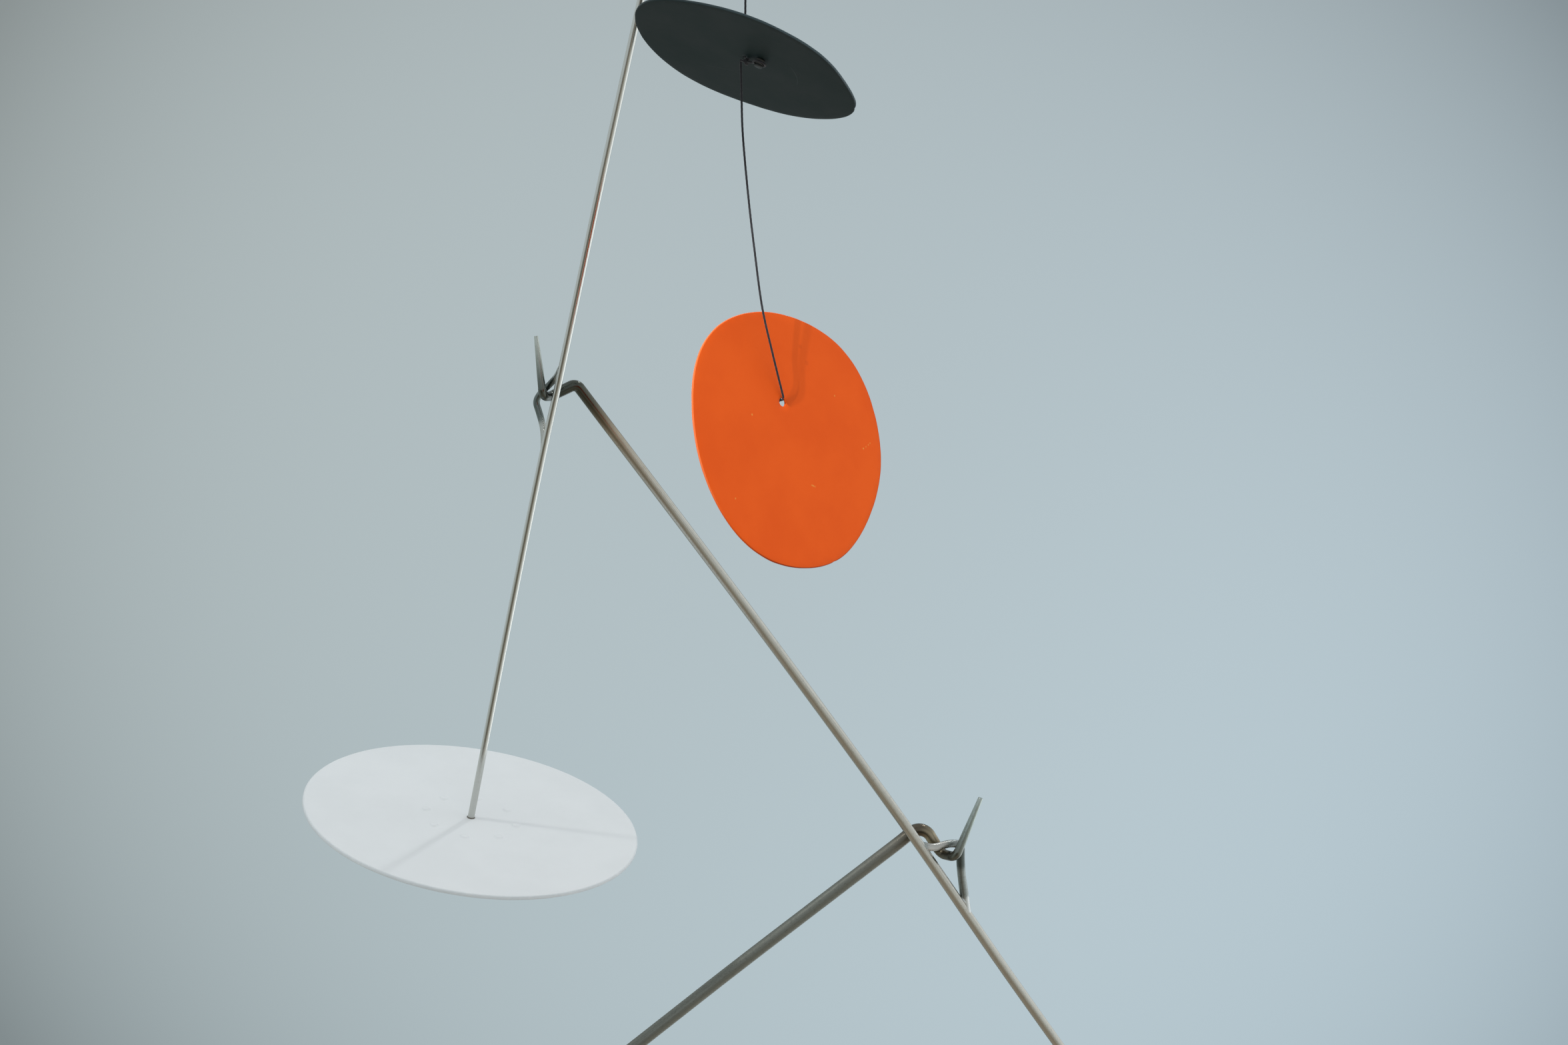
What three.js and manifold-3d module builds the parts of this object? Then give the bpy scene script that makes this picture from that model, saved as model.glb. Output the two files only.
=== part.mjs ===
// Hanging mobile: a ceiling rod, three round-bar arms that hang in one another by
// hooks and welded eyes, three thin discs and two plain counterweight discs.
// Millimetres, +Z up, origin at the centre of the ceiling plate's top face.
import * as THREE from 'three';
import { mergeVertices } from 'three/addons/utils/BufferGeometryUtils.js';
import Module from 'manifold-3d';

const wasm = await Module();
wasm.setup();

// ---------- sizes ----------
const GAP = 0.3;            // between pieces that touch
const DATUM = -30;          // every height given below the ceiling plate is measured from this level

const PLATE_D = 84, PLATE_T = 6, PLATE_HOLES = 3, PLATE_HOLE_D = 5.2, PLATE_PCD = 60;

const HANGER_D = 8;         // ceiling rod
const UPPER_EYE_D = 3.3, MIDDLE_EYE_D = 5, LOWER_EYE_D = 6;   // wires of the welded eyes

const WHITE = {
  centre: [342.6, -100.5, -528.1], normal: [0.2003, -0.2780, 0.9394],
  radius: 101.8, thickness: 2.6,
  foot: [-0.5, -3.2], domes: 8, ring: 27.7, domeR: 2.9, domeRise: 0.6,
};
const BLACK = {
  centre: [512.0, -339.5, -120.5], normal: [0.3476, 0.1581, 0.9242],
  radius: 58.5, thickness: 1.3,
  // outline waves: [number round the edge, cosine part, sine part]
  waves: [[2, 0.0014, 0.0089], [3, 0.0042, 0.0106], [4, -0.0069, 0.0218], [5, 0.0025, 0.0019], [6, 0.0005, 0.0025], [7, 0.0002, 0.0044]],
};
const ORANGE = {
  centre: [535.2, -339.5, -307.5], normal: [0.694, -0.697, 0.181],
  radius: 65.8, thickness: 1.3, hole: [-5.4, 17.2], holeR: 2.25,
  waves: [[3, -0.0003, 0.0209], [4, -0.0095, -0.0044], [5, 0.0025, 0.0002], [6, 0.0019, -0.0002], [7, 0.0030, -0.0014]],
};
const CORD_D = 1.14;
const MIDDLE_WEIGHT = { radius: 62, thickness: 4.75 };
const LOWER_WEIGHT = { radius: 100, thickness: 10 };

// ---------- helpers ----------
const V = (a) => new THREE.Vector3(a[0], a[1], a[2]);
const arr = (v) => [v.x, v.y, v.z];
const mix = (a, b, t) => a.map((x, i) => x + (b[i] - x) * t);

const steel = (name, color, roughness) => new THREE.MeshStandardMaterial({ name, color, roughness, metalness: 0.95 });
const paint = (name, color, roughness) => new THREE.MeshStandardMaterial({ name, color, roughness, metalness: 0.0 });
const MAT = {
  bright: steel('bright_steel', 0xb9b4aa, 0.3),
  dark: steel('tinted_steel', 0x8a847a, 0.42),
  white: paint('white_paint', 0xd9dddd, 0.7),
  black: paint('black_paint', 0x2a3535, 0.5),
  orange: paint('orange_paint', 0xdc5a1e, 0.5),
  cord: paint('black_cord', 0x15161a, 0.8),
};

// A bar's centre line: straight runs between corners, each corner rounded to its own radius.
// Every corner is { p: [x, y, z], r: bar radius there, bend: corner radius }.
class BarLine extends THREE.Curve {
  constructor(corners, arcStep = 18) {
    super();
    const st = [];
    const n = corners.length;
    const add = (p, r) => {
      const last = st[st.length - 1];
      if (!last || last.p.distanceTo(p) > 1e-3) st.push({ p: p.clone(), r });
    };
    add(V(corners[0].p), corners[0].r);
    for (let i = 1; i < n - 1; i++) {
      const a = V(corners[i - 1].p), b = V(corners[i].p), c = V(corners[i + 1].p);
      const d1 = b.clone().sub(a), d2 = c.clone().sub(b);
      const l1 = d1.length(), l2 = d2.length();
      d1.normalize(); d2.normalize();
      const turn = d1.angleTo(d2);
      const bend = corners[i].bend || 0;
      const cut = bend * Math.tan(turn / 2);
      if (cut < 0.02) { add(b, corners[i].r); continue; }
      const back = b.clone().addScaledVector(d1, -cut);
      const side = d2.clone().addScaledVector(d1, -d1.dot(d2)).normalize();
      const centre = back.clone().addScaledVector(side, bend);
      const k = Math.max(2, Math.round(THREE.MathUtils.radToDeg(turn) / arcStep));
      const rIn = THREE.MathUtils.lerp(corners[i].r, corners[i - 1].r, cut / l1);
      const rOut = THREE.MathUtils.lerp(corners[i].r, corners[i + 1].r, cut / l2);
      for (let j = 0; j <= k; j++) {
        const t = (turn * j) / k;
        const p = centre.clone().addScaledVector(side, -bend * Math.cos(t)).addScaledVector(d1, bend * Math.sin(t));
        const w = j / k;
        const r = w < 0.5 ? THREE.MathUtils.lerp(rIn, corners[i].r, 2 * w) : THREE.MathUtils.lerp(corners[i].r, rOut, 2 * w - 1);
        add(p, r);
      }
    }
    add(V(corners[n - 1].p), corners[n - 1].r);
    this.st = st;
  }
  getPointAt(u, target = new THREE.Vector3()) {
    const x = u * (this.st.length - 1);
    const i = Math.min(Math.floor(x + 1e-9), this.st.length - 2);
    return target.lerpVectors(this.st[i].p, this.st[i + 1].p, x - i);
  }
  getPoint(u, target) { return this.getPointAt(u, target); }
  getTangentAt(u, target = new THREE.Vector3()) {
    const i = Math.round(u * (this.st.length - 1));
    const a = this.st[Math.max(0, i - 1)].p, b = this.st[i].p, c = this.st[Math.min(this.st.length - 1, i + 1)].p;
    const d1 = b.clone().sub(a), d2 = c.clone().sub(b);
    if (d1.length() > 0) d1.normalize();
    if (d2.length() > 0) d2.normalize();
    return target.copy(d1).add(d2).normalize();
  }
  getTangent(u, target) { return this.getTangentAt(u, target); }
  getSpacedPoints(n) {
    const out = [];
    for (let i = 0; i <= n; i++) out.push(this.getPointAt(i / n));
    return out;
  }
}

// The same bar a little fatter, for fitting one bar's end against another.
const fatter = (corners, by) => corners.map((c) => ({ ...c, r: c.r + by }));
// An eye's wire with its ends coped to the arm that it is welded to.
const coped = (eye, arm) => geometryOf(solid(bar(eye)).subtract(solid(bar(fatter(arm, GAP + 0.08)))));

// Round bar of varying radius along a centre line.
function bar(corners, sides = 12, arcStep = 18) {
  const line = new BarLine(corners, arcStep);
  const ring = [];
  for (let i = 0; i < sides; i++) ring.push(new THREE.Vector2(Math.cos((2 * Math.PI * i) / sides), Math.sin((2 * Math.PI * i) / sides)));
  const g0 = new THREE.ExtrudeGeometry(new THREE.Shape(ring), { steps: line.st.length - 1, extrudePath: line, bevelEnabled: false });
  const g = mergeVertices(positionsOnly(g0), 1e-4);
  const pos = g.getAttribute('position');
  const tangents = line.st.map((s, i) => line.getTangentAt(i / (line.st.length - 1)));
  for (let i = 0; i < pos.count; i++) {
    const v = new THREE.Vector3().fromBufferAttribute(pos, i);
    let best = 0, err = Infinity;
    line.st.forEach((s, k) => {
      const d = v.clone().sub(s.p);
      const e = Math.abs(d.length() - 1) + Math.abs(d.dot(tangents[k]));
      if (e < err) { err = e; best = k; }
    });
    const s = line.st[best];
    v.sub(s.p).multiplyScalar(s.r).add(s.p);
    pos.setXYZ(i, v.x, v.y, v.z);
  }
  return g;
}

function positionsOnly(g) {
  const out = g.clone();
  for (const name of Object.keys(out.attributes)) if (name !== 'position') out.deleteAttribute(name);
  return out;
}

function solid(geometry) {
  const g = mergeVertices(positionsOnly(geometry), 1e-4);
  return new wasm.Manifold(new wasm.Mesh({
    numProp: 3,
    vertProperties: Float32Array.from(g.getAttribute('position').array),
    triVerts: Uint32Array.from(g.getIndex().array),
  }));
}

function geometryOf(manifold) {
  const m = manifold.getMesh();
  const g = new THREE.BufferGeometry();
  g.setAttribute('position', new THREE.BufferAttribute(Float32Array.from(m.vertProperties), 3));
  g.setIndex(new THREE.BufferAttribute(Uint32Array.from(m.triVerts), 1));
  return g;
}

// Axes of a tilted disc: across (level with X as far as the tilt allows), along, and out of its face.
function axesOf(normal) {
  const n = V(normal).normalize();
  const u = new THREE.Vector3(1, 0, 0).addScaledVector(n, -n.x).normalize();
  return [u, new THREE.Vector3().crossVectors(n, u), n];
}
function place(mesh, centre, normal) {
  const [u, v, n] = axesOf(normal);
  mesh.quaternion.setFromRotationMatrix(new THREE.Matrix4().makeBasis(u, v, n));
  mesh.position.copy(V(centre));
  mesh.position.z += DATUM;
  return mesh;
}
// A point given in a disc's own axes, as a point of the whole.
function onDisc(disc, x, y, z = 0) {
  const [u, v, n] = axesOf(disc.normal);
  return arr(V(disc.centre).addScaledVector(u, x).addScaledVector(v, y).addScaledVector(n, z));
}

function outline(radius, waves, count) {
  const pts = [];
  for (let i = 0; i < count; i++) {
    const a = (2 * Math.PI * i) / count;
    let r = 1;
    for (const [k, c, s] of waves) r += c * Math.cos(k * a) + s * Math.sin(k * a);
    pts.push(new THREE.Vector2(radius * r * Math.cos(a), radius * r * Math.sin(a)));
  }
  return pts;
}
function roundHole(x, y, r, count = 14) {
  const pts = [];
  for (let i = 0; i < count; i++) pts.push(new THREE.Vector2(x + r * Math.cos((2 * Math.PI * i) / count), y - r * Math.sin((2 * Math.PI * i) / count)));
  return new THREE.Path(pts);
}
// Sheet disc whose face is at z = 0 and whose back is at z = -thickness.
function sheet(points, thickness, holes = []) {
  const shape = new THREE.Shape(points);
  for (const h of holes) shape.holes.push(h);
  return new THREE.ExtrudeGeometry(shape, { depth: thickness, bevelEnabled: false }).translate(0, 0, -thickness);
}
function lathe(profile, segments) {
  // profile of [radius, height]; the axis becomes Z
  return new THREE.LatheGeometry(profile.map(([r, z]) => new THREE.Vector2(r, z)), segments).rotateX(Math.PI / 2);
}

const mobile = new THREE.Group();
const put = (name, geometry, material) => {
  const m = new THREE.Mesh(geometry, material);
  m.name = name;
  m.position.z = DATUM;
  mobile.add(m);
  return m;
};

// ---------- ceiling plate and rod ----------
{
  const holes = [];
  for (let i = 0; i < PLATE_HOLES; i++) {
    const a = Math.PI / 2 + (2 * Math.PI * i) / PLATE_HOLES;
    holes.push(roundHole((PLATE_PCD / 2) * Math.cos(a), (PLATE_PCD / 2) * Math.sin(a), PLATE_HOLE_D / 2, 16));
  }
  put('ceiling_plate', sheet(outline(PLATE_D / 2, [], 64), PLATE_T, holes), MAT.dark).position.z = 0;
}

// Where each eye hangs in its hook: the middle of the eye's wire.
const LOWER_HANG = [0, -8.5, -1012.0];
const HOOK_R = 8.5;          // ceiling rod's hook, half its width
{
  const z0 = LOWER_HANG[2] - LOWER_EYE_D / 2 - 0.4 - 3.2;   // centre line at the bottom of the hook
  put('ceiling_rod', bar([
    { p: [0, 0, -DATUM - PLATE_T - GAP], r: HANGER_D / 2 },
    { p: [0, 0, z0 + 30], r: HANGER_D / 2 },
    { p: [0, 0, z0 + 0.01], r: 3.4, bend: HOOK_R - 0.02 },
    { p: [0, -2 * HOOK_R, z0 + 0.01], r: 3.1, bend: HOOK_R - 0.02 },
    { p: [0, -2 * HOOK_R - 1.5, z0 + 44], r: 1.7 },
  ]), MAT.dark);
}

// ---------- lower arm ----------
const LOWER_Y = -6.5;
const LOWER_SLOPE = 0.786;                    // fall over run, below the visible bend
const LOWER_KNEE = [436.5, LOWER_Y, -689.9];
const lowerAt = (x) => [x, LOWER_Y, LOWER_KNEE[2] + LOWER_SLOPE * (x - LOWER_KNEE[0])];
const LOWER_RUN = 304;                        // from the ceiling rod out to the weight
const lowerEnd = lowerAt(-LOWER_RUN);
const lowerDir = V([-1, 0, -LOWER_SLOPE]).normalize();
const LOWER_R = 4.1;
const LOWER_ARM = [
  { p: [658.7, -22.0, -527.3], r: 1.55 },
  { p: [642.9, -19.5, -566.0], r: 3.1, bend: 6 },
  { p: [634.4, -6.5, -565.7], r: 3.4, bend: 6 },
  { p: [622.0, -6.5, -545.6], r: LOWER_R, bend: 8.5 },
  { p: [609.7, -6.5, -556.2], r: LOWER_R },
  { p: [541.7, LOWER_Y, -608.1], r: LOWER_R },
  { p: [496.4, LOWER_Y, -642.8], r: LOWER_R },
  { p: LOWER_KNEE, r: LOWER_R },
  { p: lowerEnd, r: LOWER_R },
];
put('lower_arm', bar(LOWER_ARM), MAT.dark);
{
  const [hx, , hz] = LOWER_HANG;
  const y = LOWER_HANG[1];
  const axisZ = (x) => lowerAt(x)[2];
  put('lower_arm_eye', coped([
    { p: [hx + 16, y + 1.2, hz], r: LOWER_EYE_D / 2 },
    { p: [hx - 13, y, hz], r: LOWER_EYE_D / 2, bend: 7 },
    { p: [hx - 15, y + 1.6, axisZ(hx - 15) + 8.4], r: LOWER_EYE_D / 2 },
  ], LOWER_ARM), MAT.dark);
  const n = lowerDir;
  const w = put('lower_weight', lathe([[0, 0], [LOWER_WEIGHT.radius - 1, 0], [LOWER_WEIGHT.radius, 1], [LOWER_WEIGHT.radius, LOWER_WEIGHT.thickness - 1], [LOWER_WEIGHT.radius - 1, LOWER_WEIGHT.thickness], [0, LOWER_WEIGHT.thickness]], 72), MAT.black);
  place(w, arr(V(lowerEnd).addScaledVector(n, GAP)), arr(n));
}

// ---------- middle arm ----------
const MIDDLE_AIM = [851.2, 122.7, -886];
const MIDDLE_RUN = 217.5;                     // from that set out to the weight
const MIDDLE_LOW = [717.4, 45.5, -702.8];
const MIDDLE_TURN = [729.7, 54.1, -720.6];    // slight set in the bar beyond its visible length
const middleDir = V(MIDDLE_AIM).sub(V(MIDDLE_TURN)).normalize();
const middleEnd = arr(V(MIDDLE_TURN).addScaledVector(middleDir, MIDDLE_RUN));
const MIDDLE_R = 3.3;
const MIDDLE_ARM = [
  { p: [390.2, -179.0, -243.3], r: 1.2 },
  { p: [393.8, -176.5, -277.8], r: 2.55, bend: 5 },
  { p: [397.3, -164.5, -276.9], r: 2.85, bend: 5 },
  { p: [403.0, -164.0, -273.9], r: 3.2 },
  { p: [411.6, -163.0, -269.6], r: MIDDLE_R, bend: 4.2 },
  { p: [425.0, -154.2, -287.9], r: MIDDLE_R },
  { p: [471.0, -124.3, -350.1], r: MIDDLE_R },
  { p: [518.8, -92.8, -415.6], r: MIDDLE_R },
  { p: [568.4, -59.4, -484.9], r: MIDDLE_R },
  { p: [619.4, -24.5, -557.4], r: MIDDLE_R },
  { p: [672.0, 13.8, -637.1], r: MIDDLE_R },
  { p: MIDDLE_LOW, r: MIDDLE_R },
  { p: MIDDLE_TURN, r: MIDDLE_R, bend: 60 },
  { p: middleEnd, r: MIDDLE_R },
];
put('middle_arm', bar(MIDDLE_ARM), MAT.dark);
const MIDDLE_HANG = [639.2, -13.0, -558.2];
put('middle_arm_eye', coped([
  { p: [624.6, -21.5, -560.2], r: MIDDLE_EYE_D / 2 },
  { p: [627.9, -19.5, -560.0], r: MIDDLE_EYE_D / 2 },
  { p: MIDDLE_HANG, r: MIDDLE_EYE_D / 2 },
  { p: [646.9, -9.5, -559.0], r: 2.65, bend: 4.5 },
  { p: [647.0, -7.6, -573.0], r: 2.75 },
  { p: [648.9, -4.6, -588.0], r: 2.75 },
  { p: [650.4, -2.9, -597.5], r: 2.75 },
], MIDDLE_ARM), MAT.dark);
{
  const w = put('middle_weight', lathe([[0, 0], [MIDDLE_WEIGHT.radius - 0.8, 0], [MIDDLE_WEIGHT.radius, 0.8], [MIDDLE_WEIGHT.radius, MIDDLE_WEIGHT.thickness - 0.8], [MIDDLE_WEIGHT.radius - 0.8, MIDDLE_WEIGHT.thickness], [0, MIDDLE_WEIGHT.thickness]], 64), MAT.black);
  place(w, arr(V(middleEnd).addScaledVector(middleDir, GAP)), arr(middleDir));
}

// ---------- upper arm ----------
const UPPER_FOOT = onDisc(WHITE, WHITE.foot[0], WHITE.foot[1], GAP);
const UPPER_BEND = [457.9, -241.5, -50.0];
const CORD_TOP = [513.0, -345.9, -58.0];      // bottom of the small hook that the cord hangs from
const armDir = V([CORD_TOP[0] - UPPER_BEND[0], CORD_TOP[1] - UPPER_BEND[1], 0]).normalize();
const armPoint = (s, z) => arr(V([CORD_TOP[0], CORD_TOP[1], z]).addScaledVector(armDir, s));
const UPPER_R = 2.05;
const UPPER_ARM = [
  { p: UPPER_FOOT, r: UPPER_R },
  { p: [363.2, -130.4, -435.6], r: UPPER_R },
  { p: [385.4, -157.8, -340.7], r: UPPER_R },
  { p: [394.2, -168.2, -304.2], r: UPPER_R },
  { p: [402.1, -177.0, -274.0], r: UPPER_R },
  { p: [412.5, -189.1, -231.3], r: UPPER_R },
  { p: [427.5, -207.0, -169.6], r: UPPER_R },
  { p: [454.0, -237.2, -65.0], r: UPPER_R },
  { p: UPPER_BEND, r: UPPER_R, bend: 6 },
  { p: armPoint(-14, -50.5), r: UPPER_R, bend: 6 },
  { p: armPoint(-4, CORD_TOP[2]), r: 1.5, bend: 4 },
  { p: armPoint(4, CORD_TOP[2]), r: 1.45, bend: 4 },
  { p: armPoint(6.5, -34), r: 0.8 },
];
put('upper_arm', bar(UPPER_ARM), MAT.bright);
const UPPER_HANG = [395.9, -170.5, -271.7];
put('upper_arm_eye', coped([
  { p: [402.6, -176.6, -265.6], r: UPPER_EYE_D / 2 },
  { p: UPPER_HANG, r: UPPER_EYE_D / 2 },
  { p: [390.8, -167.2, -275.8], r: 1.85 },
  { p: [388.5, -166.0, -280.2], r: 1.95 },
  { p: [390.9, -165.7, -287.5], r: 1.95 },
  { p: [392.7, -166.1, -297.0], r: 1.9 },
  { p: [392.9, -166.5, -303.5], r: 1.85 },
], UPPER_ARM), MAT.bright);

// ---------- white disc ----------
{
  let body = solid(sheet(outline(WHITE.radius, [], 96), WHITE.thickness));
  const R = WHITE.domeR, H = WHITE.domeRise;
  for (let i = 0; i < WHITE.domes; i++) {
    const a = (2 * Math.PI * i) / WHITE.domes;
    const dome = lathe([[0, -0.8], [R, -0.8], [R, 0], [0.8 * R, 0.35 * H], [0.5 * R, 0.8 * H], [0, H]], 14)
      .translate(WHITE.foot[0] + WHITE.ring * Math.cos(a), WHITE.foot[1] + WHITE.ring * Math.sin(a), 0);
    body = body.add(solid(dome));
  }
  place(put('white_disc', geometryOf(body), MAT.white), WHITE.centre, WHITE.normal);
}

// ---------- black disc and its rivet ----------
const CORD_HOLE = [1.0, -7.0], RIVET = [9.2, -11.4];
const RIVET_R = 2.15, RIVET_DROP = 4.1;
place(put('black_disc', sheet(outline(BLACK.radius, BLACK.waves, 80), BLACK.thickness,
  [roundHole(CORD_HOLE[0], CORD_HOLE[1], 1.3, 12), roundHole(RIVET[0], RIVET[1], 1.7, 12)]).translate(0, 0, BLACK.thickness), MAT.black), BLACK.centre, BLACK.normal);
{
  const t = BLACK.thickness + GAP;
  place(put('disc_rivet', lathe([[0, -RIVET_DROP], [RIVET_R - 0.3, -RIVET_DROP], [RIVET_R, 0.3 - RIVET_DROP], [RIVET_R, -GAP], [1.35, -GAP], [1.35, t], [3, t], [3, t + 0.6], [2.4, t + 1.1], [0, t + 1.1]], 16), MAT.dark),
    onDisc(BLACK, RIVET[0], RIVET[1]), BLACK.normal);
}

// ---------- orange disc ----------
place(put('orange_disc', sheet(outline(ORANGE.radius, ORANGE.waves, 80), ORANGE.thickness,
  [roundHole(ORANGE.hole[0], ORANGE.hole[1], ORANGE.holeR, 16)]), MAT.orange), ORANGE.centre, ORANGE.normal);

// ---------- cord ----------
const cordR = CORD_D / 2;
const cord = (name, points) => {
  const curve = new THREE.CatmullRomCurve3(points.map(V), false, 'centripetal');
  const steps = Math.round(curve.getLength() / 2.9);
  const ring = [];
  for (let i = 0; i < 8; i++) ring.push(new THREE.Vector2(cordR * Math.cos((Math.PI * i) / 4), cordR * Math.sin((Math.PI * i) / 4)));
  return put(name, positionsOnly(new THREE.ExtrudeGeometry(new THREE.Shape(ring), { steps, extrudePath: curve, bevelEnabled: false })), MAT.cord);
};
const lump = (r, c, w = 12, h = 8) => solid(new THREE.SphereGeometry(1, w, h).scale(r[0], r[1], r[2]).translate(c[0], c[1], c[2]));
const rod = (a, b, r, n = 8) => {
  const A = V(a), B = V(b), d = B.clone().sub(A);
  const g = new THREE.CylinderGeometry(r, r, d.length(), n);
  g.applyQuaternion(new THREE.Quaternion().setFromUnitVectors(new THREE.Vector3(0, 1, 0), d.clone().normalize()));
  g.translate((A.x + B.x) / 2, (A.y + B.y) / 2, (A.z + B.z) / 2);
  return solid(g);
};

// loop round the small hook, drawn into a knot under it
const LOOP_R = 1.475 + GAP + cordR + 0.05;
{
  const side = new THREE.Vector3().crossVectors(new THREE.Vector3(0, 0, 1), armDir);
  const g = new THREE.TorusGeometry(LOOP_R, cordR, 8, 20);
  g.applyQuaternion(new THREE.Quaternion().setFromUnitVectors(new THREE.Vector3(0, 0, 1), armDir));
  g.translate(CORD_TOP[0], CORD_TOP[1], CORD_TOP[2]);
  const knot = lump([1.4, 1.4, 1.7], [CORD_TOP[0], CORD_TOP[1], CORD_TOP[2] - LOOP_R - 1.2]);
  put('cord_top_loop', geometryOf(solid(g).add(knot)), MAT.cord);
}
const CORD_START = [CORD_TOP[0], CORD_TOP[1], CORD_TOP[2] - LOOP_R - 1.2 - 1.7 - GAP];
const CORD_IN = onDisc(BLACK, CORD_HOLE[0], CORD_HOLE[1], -0.45);
cord('cord_upper', [CORD_START, mix(CORD_START, CORD_IN, 0.5), CORD_IN]);

// knot under the black disc, tied to a turn round the rivet
{
  const ring = solid(new THREE.TorusGeometry(RIVET_R + GAP + cordR, cordR, 8, 20).translate(RIVET[0], RIVET[1], -2.3));
  const knot = ring.add(rod([2.6, -7.9, -2.2], [6.2, -9.8, -2.3], 0.6)).add(lump([2.0, 1.7, 1.5], [2.0, -7.6, -2.1]));
  place(put('cord_middle_knot', geometryOf(knot), MAT.cord), BLACK.centre, BLACK.normal);
}

// from that knot down to the hole in the orange disc
const LOWER_CORD = [
  onDisc(BLACK, -0.35, -6.9, -3.1),
  [511.0, -346.5, -140.0], [511.5, -347.0, -156.2], [514.6, -348.5, -191.2], [517.3, -349.5, -214.4],
  [521.3, -349.0, -244.1], [526.1, -346.5, -265.3], onDisc(ORANGE, ORANGE.hole[0] - 0.3, ORANGE.hole[1] + 1.9, 0.95),
];
cord('cord_lower', LOWER_CORD);
{
  const [hx, hy] = ORANGE.hole, t = ORANGE.thickness;
  const knot = rod([hx, hy + 1.15, 0.3], [hx, hy + 1.15, -t - 1.5], 0.75).add(lump([2.2, 2.2, 1.5], [hx, hy + 2.4, -t - GAP - 1.6]));
  place(put('cord_end_knot', geometryOf(knot), MAT.cord), ORANGE.centre, ORANGE.normal);
}

export default mobile;
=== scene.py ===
import math

import bmesh
import bpy
from mathutils import Matrix, Vector, noise
from mathutils.geometry import delaunay_2d_cdt


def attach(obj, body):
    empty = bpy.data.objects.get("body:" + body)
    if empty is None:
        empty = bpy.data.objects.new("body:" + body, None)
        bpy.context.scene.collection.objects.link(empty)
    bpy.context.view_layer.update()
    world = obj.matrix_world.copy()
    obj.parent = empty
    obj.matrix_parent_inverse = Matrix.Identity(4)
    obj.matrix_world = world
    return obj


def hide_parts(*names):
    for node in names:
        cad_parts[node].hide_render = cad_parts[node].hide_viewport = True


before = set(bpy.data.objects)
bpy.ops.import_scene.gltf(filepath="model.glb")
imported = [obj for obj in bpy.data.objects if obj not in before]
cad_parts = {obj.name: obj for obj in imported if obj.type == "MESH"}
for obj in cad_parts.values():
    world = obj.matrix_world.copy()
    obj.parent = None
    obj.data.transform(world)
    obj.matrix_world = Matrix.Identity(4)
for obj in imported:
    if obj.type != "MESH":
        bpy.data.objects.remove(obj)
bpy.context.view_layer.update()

scene = bpy.context.scene
MM = 0.001
DATUM = -30.0            # as in the CAD: heights are measured from this level, in mm
GAP = 0.3

# ------------------------------------------------------------------ camera
cam_data = bpy.data.cameras.new("camera")
cam_data.lens = 50.0
cam_data.sensor_width = 36.0
cam_data.sensor_fit = "HORIZONTAL"
cam_data.clip_start, cam_data.clip_end = 0.05, 60.0
camera = bpy.data.objects.new("camera", cam_data)
scene.collection.objects.link(camera)
camera.location = (0.532, -1.4245, -0.380)
camera.rotation_euler = (math.radians(90), 0, 0)
scene.camera = camera
scene.view_settings.view_transform = "Standard"
scene.view_settings.look = "None"


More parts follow.
